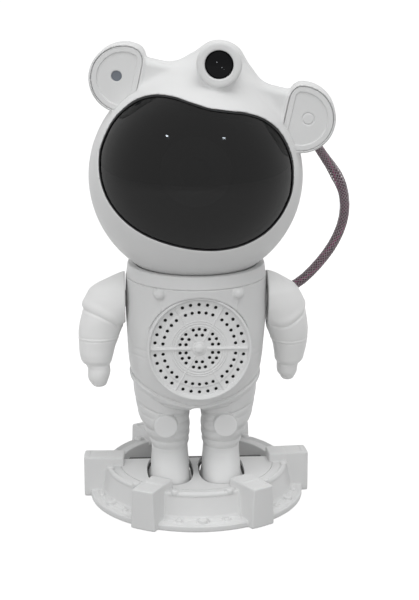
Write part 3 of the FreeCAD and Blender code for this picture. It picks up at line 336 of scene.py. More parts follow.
def settle(field, points, step):
    """Moves points on to the surface along the field's slope, twice."""
    probe = 0.04
    for _ in range(2):
        x, y, z = points.T
        value = field(x, y, z)
        slope = np.stack([field(x + probe, y, z) - field(x - probe, y, z),
                          field(x, y + probe, z) - field(x, y - probe, z),
                          field(x, y, z + probe) - field(x, y, z - probe)], axis=1) / (2 * probe)
        size = np.maximum((slope ** 2).sum(1), 0.05)
        move = slope * (value / size)[:, None]
        far = np.linalg.norm(move, axis=1, keepdims=True)
        points = points - move * np.minimum(1.0, 0.5 * step / np.maximum(far, 1e-9))
    return points


def skin(name, field, low, high, step, body="base", place=None):
    """White piece with the surface field(x, y, z) = 0, which is negative inside."""
    axes = [np.arange(low[k], high[k] + step, step).astype(np.float32) for k in range(3)]
    grid = field(*np.meshgrid(*axes, indexing="ij", sparse=True))
    inside = grid < 0
    total = np.zeros([n - 1 for n in inside.shape], np.int8)
    for c in range(8):
        part = tuple(slice(c >> k & 1, inside.shape[k] - 1 + (c >> k & 1)) for k in range(3))
        total += inside[part]
    cells = np.argwhere((total > 0) & (total < 8))
    number = np.full(total.shape, -1, np.int32)
    number[tuple(cells.T)] = np.arange(len(cells))
    points = np.asarray(low, float) + step * cell_points(grid, cells)
    points = settle(field, points, step)
    return mesh_piece(name, points, net_faces(inside, number), SHELL, body, place)


# ---------- shapes, as distances in mm

def length(*parts):
    total = 0
    for part in parts:
        total = total + part * part
    return np.sqrt(total)


def union(*shapes):
    return reduce(np.minimum, shapes)


def meet(*shapes):
    """Where all the shapes overlap, with sharp edges."""
    return reduce(np.maximum, shapes)


def blend_in(a, b, soft):
    """Union of two shapes with a soft hollow between them."""
    h = np.clip(0.5 + 0.5 * (b - a) / soft, 0, 1)
    return b + (a - b) * h - soft * h * (1 - h)


def both(a, b, edge):
    """Where two shapes overlap, with a rounded edge."""
    a, b = a + edge, b + edge
    return np.minimum(np.maximum(a, b), 0) + length(np.maximum(a, 0), np.maximum(b, 0)) - edge


def either(a, b, fillet):
    """Union with a round fillet."""
    return -both(-a, -b, fillet)


def without(a, b, edge=0.3):
    """a with b cut out of it, its edges rounded."""
    return both(a, -b, edge)


def slab(value, low, high):
    return np.abs(value - (low + high) / 2) - (high - low) / 2


def block(x, y, z, low, high, edge):
    """Box with rounded edges."""
    parts = [slab(v, a, b) + edge for v, a, b in zip((x, y, z), low, high)]
    return length(*[np.maximum(part, 0) for part in parts]) + np.minimum(meet(*parts), 0) - edge


def curve_between(t, start, end, leave, arrive):
    """Cubic from start to end, with the slopes that it leaves and arrives with."""
    return ((2 * t ** 3 - 3 * t ** 2 + 1) * start + (t ** 3 - 2 * t ** 2 + t) * leave
            + (3 * t ** 2 - 2 * t ** 3) * end + (t ** 3 - t ** 2) * arrive)


def sections_at(rows, level):
    """Each later column of a table of (level, ...) rows as a smooth value at any level."""
    heights = np.array([row[0] for row in rows], float)
    level = np.clip(level, heights[0], heights[-1])
    i = np.clip(np.searchsorted(heights, level) - 1, 0, len(heights) - 2)
    gap = heights[i + 1] - heights[i]
    t = (level - heights[i]) / gap
    made = []
    for values in np.array(rows, float).T[1:]:
        slopes = np.gradient(values, heights)
        made.append(curve_between(t, values[i], values[i + 1], gap * slopes[i], gap * slopes[i + 1]))
    return made


def column_of(x, y, half, front, back, power):
    """Distance outwards from an upright column with superelliptic level sections."""
    reach = np.where(y < 0, front, back)
    share = ((np.abs(x) / half) ** power + (np.abs(y) / reach) ** power) ** (1 / power)
    share = np.maximum(share, 1e-4)
    return length(x, y) * (1 - 1 / share)


def groove(distance, width):
    """1 in the middle of a groove, falling to 0 past its width."""
    return np.exp(-(distance / width) ** 2)


# ---------- stand

STAND_GAP = 0.3
SECTOR_HALF = 21.4
LEDGE_RADIUS = 52.8
LEDGE_TOP = 3.3
DRUM_FOOT = 48.0
DRUM_LEAN = 0.204
DRUM_BORE = 37.8
DECK_TOP = 16.0
BLOCK_REACH = 56.0
BLOCK_TOP = 20.1
REAR_GAP = 23.0
FRONT = -89.0
BLOCK_ANGLES = [FRONT + side * offset for offset in (31.0, 94.0, 152.5) for side in (-1, 1)]
SECTOR_ANGLES = [FRONT + offset for offset in (0.0, -62.5, 62.5, -123.25, 123.25)]


def from_nearest(x, y, bearings):
    """Angle in degrees from the nearest of several bearings, with its sign."""
    angle = np.degrees(np.arctan2(y, x))
    best = np.full_like(angle, 360.0)
    for bearing in bearings:
        off = (angle - bearing + 180) % 360 - 180
        best = np.where(np.abs(off) < np.abs(best), off, best)
    return best


def across_and_out(radius, turn):
    """How far a point lies across and out along a bearing that is turn degrees from it."""
    swing = np.radians(turn)
    return radius * np.sin(swing), radius * np.cos(swing)


def stand_field(x, y, z):
    radius = length(x, y)
    ledge = both(radius - LEDGE_RADIUS, slab(z, STAND_GAP, LEDGE_TOP), 0.6)
    strip = both(slab(radius, 45, 50.4), slab(z, 2, LEDGE_TOP + 0.45), 0.35)
    wall = DRUM_FOOT - DRUM_LEAN * (z - STAND_GAP)
    drum = both(meet((radius - wall) * 0.98, DRUM_BORE - radius), slab(z, STAND_GAP, DECK_TOP), 0.4)
    rim = both(slab(radius, 42.2, 44.75), slab(z, 10, DECK_TOP + 0.5), 0.35)
    ring = meet(either(either(ledge, drum, 0.4), union(strip, rim), 0.3), DRUM_BORE - radius)

    turn = from_nearest(x, y, SECTOR_ANGLES)
    across, out = across_and_out(radius, turn)
    wide = np.abs(turn)
    panel = both(meet(slab(z, 5.6, 15.0), (wide - SECTOR_HALF) * 0.82), wall - 0.3 - radius, 0.1)
    ring = without(ring, panel, 0.15)
    bars = union(slab(wide, 3.4, 11.3), slab(wide, 15.7, 22.0)) * 0.845
    beads = both(both(slab(radius, 45, 49.5), bars, 0.5), slab(z, 2, LEDGE_TOP + 1.35), 0.55)
    for middle, reach, size, low, top in ((0.0, 48.9, 2.15, 2, LEDGE_TOP + 2.1),
                                          (13.5, 48.7, 1.35, 2, LEDGE_TOP + 1.7),
                                          (17.3, 43.6, 1.9, 15.3, DECK_TOP + 1.7)):
        angle = math.radians(middle)
        spot = length(out - reach * math.cos(angle), np.abs(across) - reach * math.sin(angle))
        beads = union(beads, both(spot - size, slab(z, low, top), 0.7))
    rail = both(slab(radius, 42.9, 44.2), slab(z, 8, DECK_TOP + 1.05), 0.4)
    rail = meet(rail, (wide - 13.6) * 0.75)
    ring = either(ring, union(beads, rail), 0.2)

    rear = from_nearest(x, y, [FRONT + 180])
    ring = both(ring, (REAR_GAP - np.abs(rear)) * 0.0174 * radius, 0.5)

    across, out = across_and_out(radius, from_nearest(x, y, BLOCK_ANGLES))
    half = 6.6 - 0.05 * z
    post = both(np.abs(across) - half, slab(z, STAND_GAP, BLOCK_TOP), 0.55)
    post = both(post, meet(radius - BLOCK_REACH, 36 - out), 0.55)
    recess = block(across, out, z, (-4.1, 44.4, BLOCK_TOP - 0.3), (4.1, 53.0, 30), 0.2)
    post = without(post, recess, 0.15)
    below = meet(radius - DRUM_BORE, z - 14)
    return either(ring, meet(post, -below), 0.3)


def make_stand():
    reach = 56.8
    stand = skin("stand_body", stand_field, (-reach, -reach, -0.6), (reach, reach, 21.2), 0.48)
    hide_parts("stand_ring")


# ---------- legs

FIGURE_SHIFT = -0.9
LEG_ROWS = [
    (2.35, 12.6, 9.2, -10.2, 18.2, 2.7), (4.8, 12.6, 9.8, -10.2, 19.4, 2.7),
    (13.6, 12.6, 10.0, -10.2, 19.75, 2.7), (16.0, 12.6, 9.5, -10.2, 19.2, 2.7),
    (21.0, 12.6, 9.3, -9.4, 16.8, 2.5), (26.0, 12.6, 8.9, -8.4, 13.2, 2.3),
    (29.5, 12.7, 8.9, -7.6, 11.4, 2.2), (32.5, 12.9, 9.4, -7.4, 11.8, 2.1),
    (37.0, 13.7, 10.5, -7.2, 13.4, 2.1), (43.0, 14.8, 11.8, -7.0, 15.4, 2.1),
    (46.5, 15.3, 12.8, -6.3, 16.4, 2.15), (50.0, 15.6, 13.2, -5.5, 17.6, 2.2),
    (58.0, 16.4, 13.6, -4.5, 19.2, 2.2), (66.0, 16.4, 13.4, -4.0, 19.6, 2.2)]
SOLE = 2.35
KNEE_UP = 43.4
KNEE_OUT = 14.4
KNEE_RADIUS = 5.75


def leg_column(x, y, z):
    middle, half, centre, reach, power = sections_at(LEG_ROWS, z)
    return column_of(x - middle, y - centre, half, reach, reach, power)


def leg_field(x, y, z):
    wide = np.abs(x - FIGURE_SHIFT)
    leg = leg_column(wide, y, z)
    lean = 0.05 * (wide - 12.6)
    swell = (0.45 * groove(z - 31.4, 1.5) + 0.5 * groove(z - 35.8 - lean, 1.9)
             + 0.5 * groove(z - 41.0 - 3 * lean, 2.4))
    crease = (0.5 * groove(z - 33.2, 0.55) + 0.45 * groove(z - 29.4, 0.5)
              + 0.5 * groove(z - 38.4 - 2 * lean, 0.6) + 0.3 * groove(z - 44.6 - 4 * lean, 0.7))
    thigh = np.interp(wide, (0, 18, 28.6, 34), (46.0, 49.0, 52.7, 56.0))
    crease = crease + 0.7 * groove(z - thigh, 0.6)
    leg = leg - swell + crease
    leg = both(leg, SOLE - z, 0.6)
    spot = length(np.abs(x - FIGURE_SHIFT + 0.5) - KNEE_OUT, z - KNEE_UP) - KNEE_RADIUS
    knee = both(spot, slab(y, -25.3 + 0.06 * (z - KNEE_UP), -15), 0.6)
    leg = either(leg, knee, 0.35)
    inner = meet(leg_column(wide, y, z) + 2.2, 10 - z)
    return meet(leg, -(torso_column(x, y, z) + 0.6), -inner, z - 62)


def make_legs():
    for name, side in (("leg_right", -1), ("leg_left", 1)):
        low, high = sorted((side * 2.0 + FIGURE_SHIFT, side * 32.0 + FIGURE_SHIFT))
        leg = skin(name + "_shell", leg_field, (low, -31, 1.6), (high, 17, 63), 0.45)
        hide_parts(name)


# ---------- torso

TORSO_ROWS = [
    (48.6, -0.9, 17.0, 15.0, 14.0, 2.0), (51.5, -0.85, 24.8, 24.5, 20.0, 2.1),
    (58.0, -0.75, 29.4, 30.5, 25.0, 2.2), (68.0, -0.6, 31.9, 33.0, 28.5, 2.3),
    (84.0, -0.3, 33.4, 33.2, 30.0, 2.3), (96.0, -0.1, 34.05, 32.8, 31.0, 2.2),
    (106.0, -0.1, 34.1, 33.2, 32.6, 2.1), (113.4, -0.1, 33.9, 33.9, 33.9, 2.0)]
TORSO_TOP = 113.0
SHOULDER_UP = 101.0
SPEAKER_OUT = 33.6
SPEAKER_UP = 84.5
SPEAKER_TILT = math.radians(4.2)


def torso_column(x, y, z):
    across, half, front, back, power = sections_at(TORSO_ROWS, z)
    side = column_of(x - across, y, half, front, back, power)
    crotch = TORSO_ROWS[0][0] + 1.55 * np.sqrt(np.clip(8.4 - (x - FIGURE_SHIFT) ** 2, 0, None))
    return both(side * 0.95, crotch - z, 2.5)


def at_speaker(x, y, z):
    """Distance from the speaker's axis, and how far out of the belly."""
    turn, lean = math.cos(SPEAKER_TILT), math.sin(SPEAKER_TILT)
    up, out = z - SPEAKER_UP, -(y + SPEAKER_OUT)
    return length(x, up * turn - out * lean), out * turn + up * lean


def torso_folds(x, z):
    """Depth of the seams and folds of the suit."""
    wide = np.abs(x - 0.7 * FIGURE_SHIFT)
    first = np.interp(wide, (0, 3.6, 18.4, 31.3, 36), (54.6, 54.9, 59.6, 65.9, 68.5))
    second = np.interp(wide, (0, 4.1, 21.4, 30.4, 36), (52.2, 52.7, 55.1, 60.8, 64.0))
    deep = 0.95 * groove(z - first, 0.6) + 0.75 * groove(z - second, 0.55)
    under = np.clip((first - z) / 1.5, 0, 1) * np.clip((z - second) / 1.5, 0, 1)
    deep = deep - 0.7 * under
    belt = np.clip((wide - 20) / 4, 0, 1)
    return deep + belt * (0.22 * groove(z - 81.4, 0.35) + 0.22 * groove(z - 77.9, 0.35))


def torso_field(x, y, z):
    plain = torso_column(x, y, z)
    skin_deep = plain + torso_folds(x, z)
    wide = np.abs(x)
    stud = length(wide - 18.4, (y + 27.9) * 0.9, z - 110.5) - 3.1
    body = blend_in(skin_deep, stud, 0.7)
    reach = np.clip((z - 100.5) / 7.5, 0, 1)
    strap = length(wide - (16.9 + 1.5 * reach), z - (100.5 + 7.5 * reach)) - 0.45
    body = either(body, meet(strap, y + 10, plain - 0.3), 0.3)
    body = meet(body, -(plain + 2.2))
    away, out = at_speaker(x, y, z)
    body = without(body, meet(away - 24.72, -8 - out), 0.25)
    shoulder = length(y, z - SHOULDER_UP)
    boss = meet(shoulder - 8, slab(wide, 28.5, 33), plain)
    body = meet(union(body, boss), 4.2 - shoulder)
    return both(body, z - TORSO_TOP, 0.35)


def make_torso():
    torso = skin("torso_shell", torso_field, (-35.5, -35.5, 46.5), (35.5, 35.5, 114), 0.55)
    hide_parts("torso_front", "torso_rear")


# ---------- collar

def collar_field(x, y, z):
    radius = length(x, y)
    outside = 33.05 + 0.14 * (119.2 - z)
    rim = both(meet((radius - outside) * 0.99, 29.5 - radius), slab(z, 113.0, 119.2), 0.3)
    floor = both(radius - 32, slab(z, 113.0, 114.0), 0.2)
    plate = meet(radius - 30.7, slab(z, 111.4, 113.4))
    well = meet(radius - 27.8, slab(z, 109.65, 113.4))
    cup = meet(radius - 20.0, slab(z, 102.6, 112))
    room = union(meet(radius - 26.3, 111.05 - z), meet(radius - 18.4, 104.4 - z), radius - 9.05)
    return meet(union(rim, floor, plate, well, cup), -room)


def make_collar():
    collar = skin("collar_ring", collar_field, (-34, -34, 101.5), (34, 34, 120), 0.5)
    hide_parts("collar")


# ---------- arms

# Arms get a lighter white than the body shell: partly a whiter plastic, partly painted light for the
# brighter light the arms catch.
ARM_WHITE = plastic("arm_abs", (0.88, 0.88, 0.875), 0.42)

RIGHT_ARM = {
    "rows": [(57.0, 47.7, 2.6, 2.6), (59.3, 47.7, 3.9, 4.1), (61.3, 47.95, 4.85, 5.2),
             (63.3, 47.8, 5.4, 5.8), (65.3, 47.6, 5.55, 6.0), (67.4, 47.8, 5.55, 6.0),
             (69.0, 48.3, 6.35, 6.6), (70.6, 48.65, 7.2, 7.5), (73.3, 48.7, 8.1, 8.4),
             (77.3, 48.4, 8.8, 9.0), (81.2, 47.7, 9.6, 9.8), (85.2, 47.0, 10.3, 10.4),
             (89.4, 45.6, 11.1, 11.2), (95.3, 41.5, 13.8, 12.4), (99.2, 38.5, 16.5, 12.9),
             (103.1, 36.6, 16.8, 12.8), (107.0, 35.2, 15.4, 11.8), (108.9, 34.6, 13.0, 10.6),
             (110.8, 34.2, 9.4, 8.8), (112.7, 34.0, 5.4, 6.2), (114.6, 34.0, 1.0, 1.5)],
    "hem": ((38.7, 41.5, 47.0, 51.0, 55.5), (88.8, 91.2, 94.3, 95.6, 96.6)),
    "rings": (82.8, 81.2), "cuff": 69.2}
LEFT_ARM = {
    "rows": [(57.0, 45.5, 2.6, 2.6), (59.4, 45.5, 3.6, 3.9), (61.5, 45.3, 4.8, 5.1),
             (63.7, 45.25, 5.15, 5.6), (65.6, 45.4, 5.3, 5.8), (67.1, 45.8, 6.0, 6.3),
             (68.6, 46.0, 6.75, 7.0), (72.2, 46.2, 7.6, 7.9), (76.4, 46.25, 8.35, 8.7),
             (80.7, 45.7, 9.3, 9.6), (84.9, 44.9, 10.2, 10.4), (89.0, 43.6, 11.0, 11.2),
             (95.3, 40.2, 13.3, 12.3), (99.5, 37.5, 15.3, 12.8), (103.7, 35.5, 15.3, 12.6),
             (107.0, 34.6, 13.8, 11.8), (110.0, 34.2, 9.6, 9.0), (112.1, 34.0, 6.2, 6.6),
             (114.4, 33.8, 1.2, 1.6)],
    "hem": ((37.0, 40.3, 44.2, 48.6, 52.3, 54.0), (88.9, 88.3, 89.3, 91.8, 94.0, 96.2)),
    "rings": (80.8, 79.0), "cuff": 67.2}


def arm_field(arm, x, y, z):
    x = np.abs(x)
    across, half, reach = sections_at(arm["rows"], z)
    body = column_of(x - across, y, half, reach, reach, 2.0) * 0.9
    hem = z - np.interp(x, *arm["hem"])
    body = body + 0.45 * groove(hem, 0.7) - 0.35 * groove(hem - 2.8, 2.0)
    upper, lower = arm["rings"]
    body = body + 0.16 * groove(z - upper, 0.35) + 0.16 * groove(z - lower, 0.35)
    body = body - 0.12 * groove(z - (upper + lower) / 2, 0.6)
    cuff = z - arm["cuff"]
    body = body + 0.3 * groove(cuff + 0.6, 0.5) - 0.15 * groove(cuff - 1.6, 1.0)
    body = both(body, 57.4 - z, 1.6)
    body = both(body, z - 114.2, 0.6)
    body = both(body, 34.4 - x, 0.4)
    off_pin = length(y, z - SHOULDER_UP)
    pin = meet(off_pin - 3.95, slab(x, 27.6, 40))
    neck = meet(off_pin - 2.8, slab(x, 26.4, 30))
    return union(body, pin, neck)


def make_arms():
    for name, body, side, swing, arm in (("arm_right", "right_arm", -1, -5.0, RIGHT_ARM),
                                         ("arm_left", "left_arm", 1, 5.0, LEFT_ARM)):
        place = (shift(0, 0, SHOULDER_UP) @ Matrix.Rotation(math.radians(swing), 4, "X")
                 @ shift(0, 0, -SHOULDER_UP))
        low, high = sorted((side * 25.8, side * 60.0))
        piece = skin(name + "_shell", lambda x, y, z, arm=arm: arm_field(arm, x, y, z),
                     (low, -15, 55.5), (high, 15, 115.5), 0.45, body, place)
        paint(piece, ARM_WHITE)
        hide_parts(name)


# ---------- speaker grille

GRILLE_HOLES = ((21.05, 5, 10.9), (17.25, 5, 10.9), (9.3, 3, 17.5), (6.55, 2, 25.0))
HOLE_RADIUS = 0.8


def grille_field(x, y, z):
    """Speaker cover, with its outer face at z = 0."""
    radius = length(x, y)
    body = both(radius - 24.65, slab(z, -9, 0), 0.5)
    body = without(body, meet(radius - (23.7 + 0.42 * z), -2.1 - z), 0.25)
    body = meet(body, -meet(radius - 22.7, z + 3.2))
    body = union(body, both(radius - 18.8, slab(z, -3, -1.75), 0.15))
    for ridge in (10.9, 12.2, 13.2):
        band = slab(radius, ridge - 0.25, ridge + 0.25)
        body = union(body, both(band, slab(z, -3, -1.5), 0.12))
    angle = np.degrees(np.arctan2(y, x))
    across, out = across_and_out(radius, (angle + 30) % 60 - 30)
    thin = meet(slab(out, 4, 22.8), slab(z, -3, -1.5))
    rib = both(slab(across, -0.3, 0.3), thin, 0.15)
    beam = meet(slab(np.abs(x), 4, 22.8), slab(z, -3, -1.0))
    strong_rib = both(slab(y, -0.55, 0.55), beam, 0.3)
    boss = both(radius - 3.2, slab(z, -3, -1.3), 0.4)
    dome = length(x, y, z + 2.9) - 2.9
    body = either(body, union(rib, strong_rib, boss, dome), 0.2)
    sector = (angle - 90 + 30) % 60 - 30
    hole = np.float64(1e3)
    for reach, count, pitch in GRILLE_HOLES:
        for index in range(count):
            off = np.radians(sector - pitch * (index - (count - 1) / 2))
            gap = radius ** 2 + reach ** 2 - 2 * radius * reach * np.cos(off)
            hole = union(hole, np.sqrt(np.maximum(gap, 0)) - HOLE_RADIUS)
    return meet(body, -meet(hole, -5 - z))


def lathe(name, profile, slot, body, place, turns=72):
    """Turned piece: profile is (radius, height) from the axis back to the axis."""
    angles = np.arange(turns) * 2 * math.pi / turns
    rows = [np.stack([radius * np.cos(angles), radius * np.sin(angles), np.full(turns, height)],
                     axis=1) for radius, height in profile]
    return mesh_piece(name, np.concatenate(rows), ring_faces(len(profile), turns), slot, body, place)


def rounded(corners, steps=4):
    """Profile with each corner given as (radius, height, rounding)."""
    made = [corners[0][:2]]
    for before, corner, after in zip(corners, corners[1:], corners[2:]):
        spot = np.array(corner[:2])
        back, on = np.array(before[:2]) - spot, np.array(after[:2]) - spot
        cut = corner[2]
        if cut <= 0:
            made.append(tuple(spot))
            continue
        first, last = spot + unit(back) * cut, spot + unit(on) * cut
        for step in range(steps + 1):
            t = step / steps
            made.append(tuple((1 - t) ** 2 * first + 2 * t * (1 - t) * spot + t * t * last))
    made.append(corners[-1][:2])
    return made


def make_speaker():
    place = (shift(0, -SPEAKER_OUT, SPEAKER_UP)
             @ Matrix.Rotation(math.pi / 2 - SPEAKER_TILT, 4, "X"))
    grille = skin("grille_shell", grille_field, (-25.3, -25.3, -9.6), (25.3, 25.3, 0.8), 0.36,
                  place=place)
    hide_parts("speaker_grille")
    cloth = rounded([(0.2, -4.0, 0), (22.5, -4.0, 0.1), (22.5, -3.5, 0.1), (0.2, -3.5, 0)])
    lathe("grille_cloth", cloth, "cone_paper", "base", place)


# ---------- helmet

BALL = 51.0
WALL = 2.0
SPLIT = -3.5
HEAD_UP = 161.1
HEAD_PAN = math.radians(-5.9)
HEAD_ROLL = math.radians(12.3)
HEAD = (shift(0, 0, HEAD_UP) @ Matrix.Rotation(HEAD_PAN, 4, "Z")
        @ Matrix.Rotation(HEAD_ROLL, 4, "Y"))
HUMP_LEVELS = (36.0, 41.5, 50.8, 53.7, 57.6, 61.1, 63.0, 70.0)
HUMP_RADII = (33.8, 28.4, 20.5, 17.1, 12.7, 9.6, 7.8, 1.0)
EYE_UP = 57.0
EYE_RADIUS = 10.4
EYE_TAPER = 0.27
EAR_RADIUS = 16.2
EAR_OUT = 42.2
EAR_UP = 39.2
EAR_INNER = 33.7
EAR_SPOT_OUT = 45.5
EAR_SPOT_UP = 39.8
VISOR_HALF = [(0, 37.9), (9.0, 38.4), (17.5, 38.6), (26.0, 36.9), (33.6, 32.5), (39.5, 25.9),
              (43.5, 18.1), (45.5, 8.3), (45.0, 1.4), (42.2, -6.7), (36.9, -14.0),
              (28.5, -20.1), (19.0, -23.7), (9.5, -25.3), (0, -25.7)]
VISOR_MIDDLE = np.array([0.0, 7.4])
VISOR_PLAY = 0.45
VISOR_RADII = (50.1, 48.2)
VISOR_RINGS = 46


def closed_line(points, per_run):
    """Smooth closed line through points, with per_run points from each to the next."""
    points = np.array(points, float)
    before, after = np.roll(points, 1, axis=0), np.roll(points, -1, axis=0)
    slope = (after - before) / 2
    t = (np.arange(per_run) / per_run)[None, :, None]
    start, end = points[:, None], after[:, None]
    leave, arrive = slope[:, None], np.roll(slope, -1, axis=0)[:, None]
    return curve_between(t, start, end, leave, arrive).reshape(-1, 2)


VISOR_LINE = closed_line(VISOR_HALF + [(-x, z) for x, z in VISOR_HALF[-2:0:-1]], 8)


def outward_normals(line, middle):
    """Directions across a closed line, away from its middle."""
    along = unit(np.roll(line, -1, axis=0) - np.roll(line, 1, axis=0))
    normals = np.stack([-along[:, 1], along[:, 0]], axis=1)
    return normals if normals[0] @ (line[0] - middle) > 0 else -normals


VISOR_OUT = outward_normals(VISOR_LINE, VISOR_MIDDLE)


def outline_grid(line, reach, step):
    """Distance from the closed line on a square grid, negative inside."""
    axis = np.arange(-reach, reach + step, step)
    gx, gz = np.meshgrid(axis, axis, indexing="ij")
    spots = np.stack([gx.ravel(), gz.ravel()], axis=1)
    best = np.full(len(spots), 1e9)
    crossings = np.zeros(len(spots), int)
    for a, b in zip(line, np.roll(line, -1, axis=0)):
        run = b - a
        t = np.clip(((spots - a) @ run) / (run @ run), 0, 1)
        best = np.minimum(best, np.linalg.norm(spots - a - t[:, None] * run, axis=1))
        spans = (a[1] > spots[:, 1]) != (b[1] > spots[:, 1])
        at = a[0] + (spots[:, 1] - a[1]) * run[0] / (run[1] if run[1] else 1e-9)
        crossings += spans & (spots[:, 0] < at)
    return np.where(crossings % 2 == 1, -best, best).reshape(gx.shape)


OUTLINE_REACH = 70.0
OUTLINE_STEP = 0.5
OUTLINE = outline_grid(VISOR_LINE, OUTLINE_REACH, OUTLINE_STEP).astype(np.float32)


def visor_edge(x, z):
    """Distance outwards from the visor's edge, seen from the front."""
    x, z = np.broadcast_arrays(x, z)
    u = np.clip((x + OUTLINE_REACH) / OUTLINE_STEP, 0, OUTLINE.shape[0] - 1.001)
    v = np.clip((z + OUTLINE_REACH) / OUTLINE_STEP, 0, OUTLINE.shape[1] - 1.001)
    i, j = u.astype(int), v.astype(int)
    s, t = u - i, v - j
    return ((1 - s) * (1 - t) * OUTLINE[i, j] + s * (1 - t) * OUTLINE[i + 1, j]
            + (1 - s) * t * OUTLINE[i, j + 1] + s * t * OUTLINE[i + 1, j + 1])


def ear_outline(x, z, inset):
    """D-shaped ear, seen from the front, for either side."""
    wide = np.abs(x)
    disc = length(wide - EAR_OUT, z - EAR_UP) - EAR_RADIUS + inset
    return both(disc, EAR_INNER + inset - wide, max(0.5, 5.4 - inset))


def helmet_solid(x, y, z):
    ball = length(x, y, z) - BALL
    band = block(x, y, z, (-37, -12.4, 29.4), (37, 1.0, 50.3), 3.0)
    head = blend_in(ball, band, 4.0)
    hump = np.interp(z, HUMP_LEVELS, HUMP_RADII)
    foot = both((length(x, y - 1) - hump) * 0.68, z - 65.2, 3.0)
    head = blend_in(head, meet(foot, 37 - z), 4.0)
    reach = EYE_RADIUS - EYE_TAPER * np.clip(y + 20.5, 0, 30)
    barrel = both((length(x, z - EYE_UP) - reach) * 0.965, slab(y, -27, 3), 1.4)
    head = blend_in(head, barrel, 2.2)
    ear = both(ear_outline(x, z, 0), slab(y, -13, 1), 1.2)
    return blend_in(head, ear, 1.6)


def helmet_field(x, y, z):
    outer = helmet_solid(x, y, z)
    mouth = both(ear_outline(x, z, 1.05), slab(y, -16, -11), 0.1)
    mouth = meet(mouth, BALL + 0.2 - length(x, y, z))
    shell = meet(outer, -(outer + WALL), -mouth)
    shell = without(shell, meet(length(x, z - EYE_UP) - 6.55, y + 12), 0.35)
    return without(shell, meet(visor_edge(x, z), y), 0.55)


def make_helmet():
    gap = 0.06
    front = skin("helmet_front_shell",
                 lambda x, y, z: both(helmet_field(x, y, z), y - SPLIT + gap, 0.15),
                 (-60.5, -53, -52), (60.5, -2.6, 69), 0.6, "head", HEAD)
    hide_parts("helmet_front")
    rear = skin("helmet_rear_shell",
                lambda x, y, z: both(helmet_field(x, y, z), SPLIT + gap - y, 0.15),
                (-60.5, -4.4, -52), (60.5, 52.5, 69), 0.66, "head", HEAD)
    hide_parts("helmet_rear")


def sphere_points(flat, radius):
    """Points seen from the front, put on a ball."""
    deep = -np.sqrt(np.maximum(radius ** 2 - (flat ** 2).sum(-1), 0))
    return np.stack([flat[..., 0], deep, flat[..., 1]], axis=-1)


def make_visor():
    """Smoked dome: an outer and an inner skin joined round the edge."""
    edge = VISOR_LINE - VISOR_PLAY * VISOR_OUT
    share = np.linspace(0.0, 1.0, VISOR_RINGS)[1:]
    outer = VISOR_MIDDLE + share[:, None, None] * (edge - VISOR_MIDDLE)[None]
    flat = np.concatenate([VISOR_MIDDLE[None], outer.reshape(-1, 2)])
    count = len(edge)
    points, faces, rims = [], [], []
    for radius, turn in zip(VISOR_RADII, (1, -1)):
        start = len(points) * len(flat)
        for k in range(count):
            n = (k + 1) % count
            faces.append((start, start + 1 + k, start + 1 + n)[::turn])
            for row in range(VISOR_RINGS - 2):
                low = start + 1 + row * count
                faces.append((low + k, low + count + k, low + count + n, low + n)[::turn])
        rims.append(start + 1 + (VISOR_RINGS - 2) * count)
        points.append(sphere_points(flat, radius))
    for k in range(count):
        n = (k + 1) % count
        faces.append((rims[0] + k, rims[1] + k, rims[1] + n, rims[0] + n))
    visor = mesh_piece("visor_dome", np.concatenate(points), faces, "smoked_visor", "head", HEAD)
    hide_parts("visor")


def make_seal():
    """Black rubber bead between the visor and the helmet, thicker along the top."""
    top = np.clip((VISOR_LINE[:, 1] - 12) / 18, 0, 1)
    width = 0.6 + 0.35 * top
    section = [(1.0, 49.4), (1.0, 50.15), (0.75, 50.52), (0.4, 50.65), (0.05, 50.65),
               (-0.12, 50.4), (-0.12, 49.4)]
    rows = []
    for share, radius in section:
        rows.append(sphere_points(VISOR_LINE - VISOR_OUT * (share * width)[:, None], radius))
    points = np.concatenate(rows)
    count, size = len(VISOR_LINE), len(section)
    k = np.arange(count)
    n = (k + 1) % count
    faces = np.concatenate([np.stack([row * count + k, row * count + n,
                                      (row + 1) % size * count + n,
                                      (row + 1) % size * count + k], axis=1)
                            for row in range(size)])
    seal = mesh_piece("visor_bead", points, faces, "black_seal", "head", HEAD)
    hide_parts("visor_seal")


def along_head(x, y, z):
    """Place whose +Z points out of the face, at a point of the head in mm."""
    return HEAD @ shift(x, y, z) @ Matrix.Rotation(math.pi / 2, 4, "X")


def ear_plate_field(x, y, z):
    plate = both(ear_outline(x, z, 1.25), slab(y, -12.55, -11), 0.25)
    plate = without(plate, both(ear_outline(x, z, 3.8), slab(y, -14, -12.05), 0.1), 0.15)
    plate = meet(plate, BALL + 0.05 - length(x, y, z))
    spot = length(np.abs(x) - EAR_SPOT_OUT, z - EAR_SPOT_UP)
    hole = without(plate, spot - 2.5, 0.2)
    ring = without(plate, meet(slab(spot, 2.45, 2.95), y + 11.75), 0.1)
    return np.where(x < 0, hole, ring)


def make_ears():
    for name, side in (("ear_plate_right", -1), ("ear_plate_left", 1)):
        low, high = sorted((side * 33.0, side * 60.0))
        plate = skin(name + "_face", ear_plate_field, (low, -13.4, 21.5), (high, -10.2, 57.0),
                     0.32, "head", HEAD)
        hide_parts(name)


